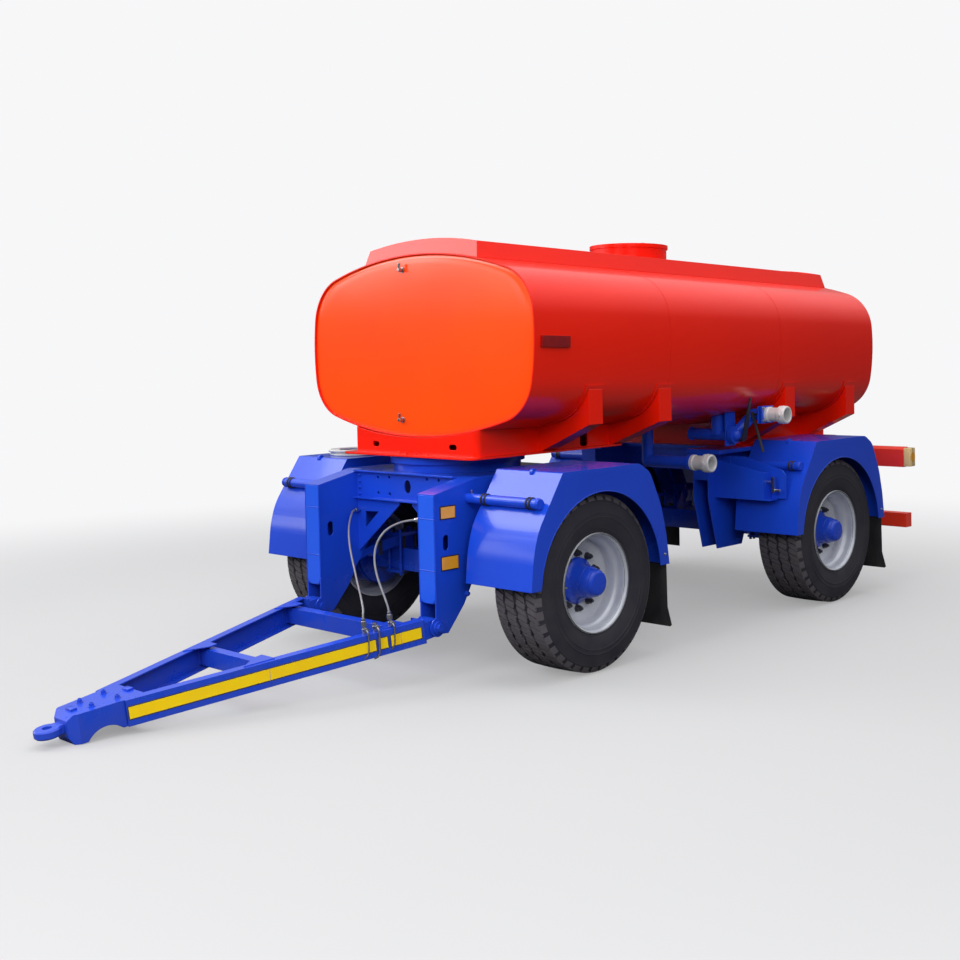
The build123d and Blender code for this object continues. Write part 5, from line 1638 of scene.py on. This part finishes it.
@dataclass
class Cradles:
    """Bolts round the front cradle's flange."""

    bolts: int = 28
    circle: float = 0.405
    seat_z: float = 1.2875

    def build(self, shop: Shop) -> None:
        """Builds the bolts along the flange.

        Args:
            shop: The shop that holds the frame.
        """
        x = shop.axle_x("front")
        bm = bmesh.new()
        for number in range(self.bolts):
            angle = tau * (number + 0.5) / self.bolts
            seat = (x + self.circle * cos(angle), self.circle * sin(angle), self.seat_z)
            hex_bolt(bm, seat, (0, 0, 1), 0.018)
        shop.add(bm, "cradle_bolts", "chassis", Slot.TANK)


@dataclass
class Discharge:
    """Cast couplings, their lugs and bolts, and a near-black disc as painted shade in each throat."""

    # Coupling from its flange outwards: (out from the flange, radius)
    cast: list[tuple[float, float]] = field(
        default_factory=lambda: [
            (0.0000, 0.0), (0.0000, 0.0560), (0.0220, 0.0560), (0.0260, 0.0500), (0.0940, 0.0500),
            (0.1000, 0.0590), (0.1050, 0.0635), (0.1560, 0.0635), (0.1620, 0.0610), (0.1650, 0.0560),
            (0.1650, 0.0480), (0.1620, 0.0460), (0.0600, 0.0460), (0.0600, 0.0),
        ]
    )
    lug_out: float = 0.130
    throat_out: float = 0.061

    def build(self, shop: Shop) -> None:
        """Builds both couplings and the upper one's flange bolts.

        Args:
            shop: The shop that holds the frame.
        """
        alloy, dark, bright = bmesh.new(), bmesh.new(), bmesh.new()
        for node in ("upper_outlet_coupling", "lower_outlet_coupling"):
            low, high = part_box(node)
            middle = (low + high) / 2
            seat = Vector((middle.x, low.y, middle.z))
            out = Vector((0, 1, 0))
            bm = bmesh.new()
            lathe(bm, self.cast, Matrix.Translation(seat) @ turn_to(out), 48, closed=False)
            piece = shop.add(bm, f"{node}_cast", "chassis", Slot.ALLOY, 30.0)
            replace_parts(piece, node)
            ring(alloy, tuple(seat + out * self.lug_out), tuple(out), 0.0630, 0.0028, 48)
            for side in (1, -1):
                lug = seat + out * self.lug_out + Vector((side * 0.060, 0, 0))
                bar(alloy, tuple(lug), tuple(lug + Vector((side * 0.011, 0, 0))), 0.013, 20)
            throat = seat + out * self.throat_out
            # Near-black disc deep in the bore: painted shade in the throat
            bar(dark, tuple(throat), tuple(throat + out * 0.004), 0.0455, 32)
        low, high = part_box("upper_outlet_coupling")
        middle, flange = (low + high) / 2, low.y
        for dx in (-0.058, 0.058):
            for dz in (-0.045, 0.045):
                hex_bolt(bright, (middle.x + dx, flange, middle.z + dz), (0, 1, 0), 0.018)
        shop.add(alloy, "coupling_rings", "chassis", Slot.ALLOY)
        shop.add(dark, "coupling_throat_shade", "chassis", Slot.DARK)
        shop.add(bright, "flange_bolts", "chassis", Slot.STEEL)


@dataclass
class Tail:
    """Tail lenses with ribs and frames, and the pale lamps at the bar's ends."""

    # Lamps from the middle plane outwards: (low, high)
    lamps: tuple[tuple[float, float], ...] = ((0.780, 0.910), (0.914, 1.044), (1.048, 1.178))
    ribs: int = 9
    rib_pitch: float = 0.012
    step_in: float = 0.0012
    # Pale end lamp: half height, and how far it stays inside the bar's overall width
    end_half: float = 0.074
    inset: float = 0.0006

    def build(self, shop: Shop) -> None:
        """Builds the tail's dress.

        Args:
            shop: The shop that holds the frame.
        """
        low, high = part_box("tail_lamps")
        lamps = shop.copy_of("tail_lamps")
        # The lens faces step in, so that their ribs end where the frame's lamps do
        for vert in lamps.verts:
            if vert.co.x < low.x + self.step_in:
                vert.co.x = low.x + self.step_in
        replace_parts(shop.add(lamps, "tail_lamp_lenses", "chassis", Slot.RED_LENS, 30.0), "tail_lamps")
        frames, ribs = bmesh.new(), bmesh.new()
        for side in (1, -1):
            for y_low, y_high in self.lamps:
                a, b = sorted((side * y_low, side * y_high))
                corner = (low.x + 0.006, a - 0.002, low.z - 0.003)
                brick(frames, corner, (high.x + 0.001, b + 0.002, high.z + 0.003), 0.002)
                for number in range(self.ribs):
                    z = low.z + 0.012 + number * self.rib_pitch
                    brick(ribs, (low.x, a + 0.006, z), (low.x + 0.004, b - 0.006, z + 0.004))
        shop.add(frames, "tail_lamp_frames", "chassis", Slot.DARK)
        shop.add(ribs, "tail_lamp_ribs", "chassis", Slot.RED_LENS)
        self.end_lamps(shop)

    def end_lamps(self, shop: Shop) -> None:
        """Builds the pale lens at each end of the light bar, with one dark rib.

        Args:
            shop: The shop that holds the frame.
        """
        bar_low, bar_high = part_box("light_bar")
        lenses, ribs = bmesh.new(), bmesh.new()
        for low, high in shop.solid_boxes("end_lamps"):
            side = 1 if low.y > 0 else -1
            middle = (bar_low.z + bar_high.z) / 2
            tip = side * (max(abs(low.y), abs(high.y)) - self.inset)
            a, b = sorted((side * bar_high.y, tip))
            foot, top = middle - self.end_half, middle + self.end_half
            brick(lenses, (low.x - 0.003, a, foot), (high.x + 0.003, b, top), 0.004)
            rib_x = (low.x + high.x) / 2
            rib = sorted((tip - side * 0.03, tip + side * self.inset))
            brick(ribs, (rib_x - 0.003, rib[0], foot), (rib_x + 0.003, rib[1], top))
        shop.add(lenses, "end_lamp_lenses", "chassis", Slot.CREAM)
        shop.add(ribs, "end_lamp_ribs", "chassis", Slot.DARK)


def main() -> None:
    """Builds the studio and every sub-assembly in order."""
    logging.basicConfig(level=logging.INFO, format="%(message)s")
    shop = Shop()
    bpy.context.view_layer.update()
    bpy.context.scene.view_settings.view_transform = "Standard"
    Studio().build()
    hoses = [
        BrakeHose("supply_brake_hose", "supply_hose", SUPPLY_ROUTE, 1.34),
        BrakeHose("service_brake_hose", "service_hose", SERVICE_ROUTE, 0.80),
    ]
    for hose in hoses:
        hose.build(shop)
    BrakeHose.nuts(shop, [SUPPLY_ROUTE, SERVICE_ROUTE])
    HoseHank().build(shop)
    Tank().build(shop)
    for wheel in ("front_left", "front_right", "rear_left", "rear_right"):
        Wheel(wheel).build(shop)
    Drawbar().build(shop)
    Ends("front", "bogie").build(shop)
    Ends("rear", "chassis").build(shop)
    Bogie().build(shop)
    Cradles().build(shop)
    Discharge().build(shop)
    Tail().build(shop)


if __name__ == "__main__":
    main()
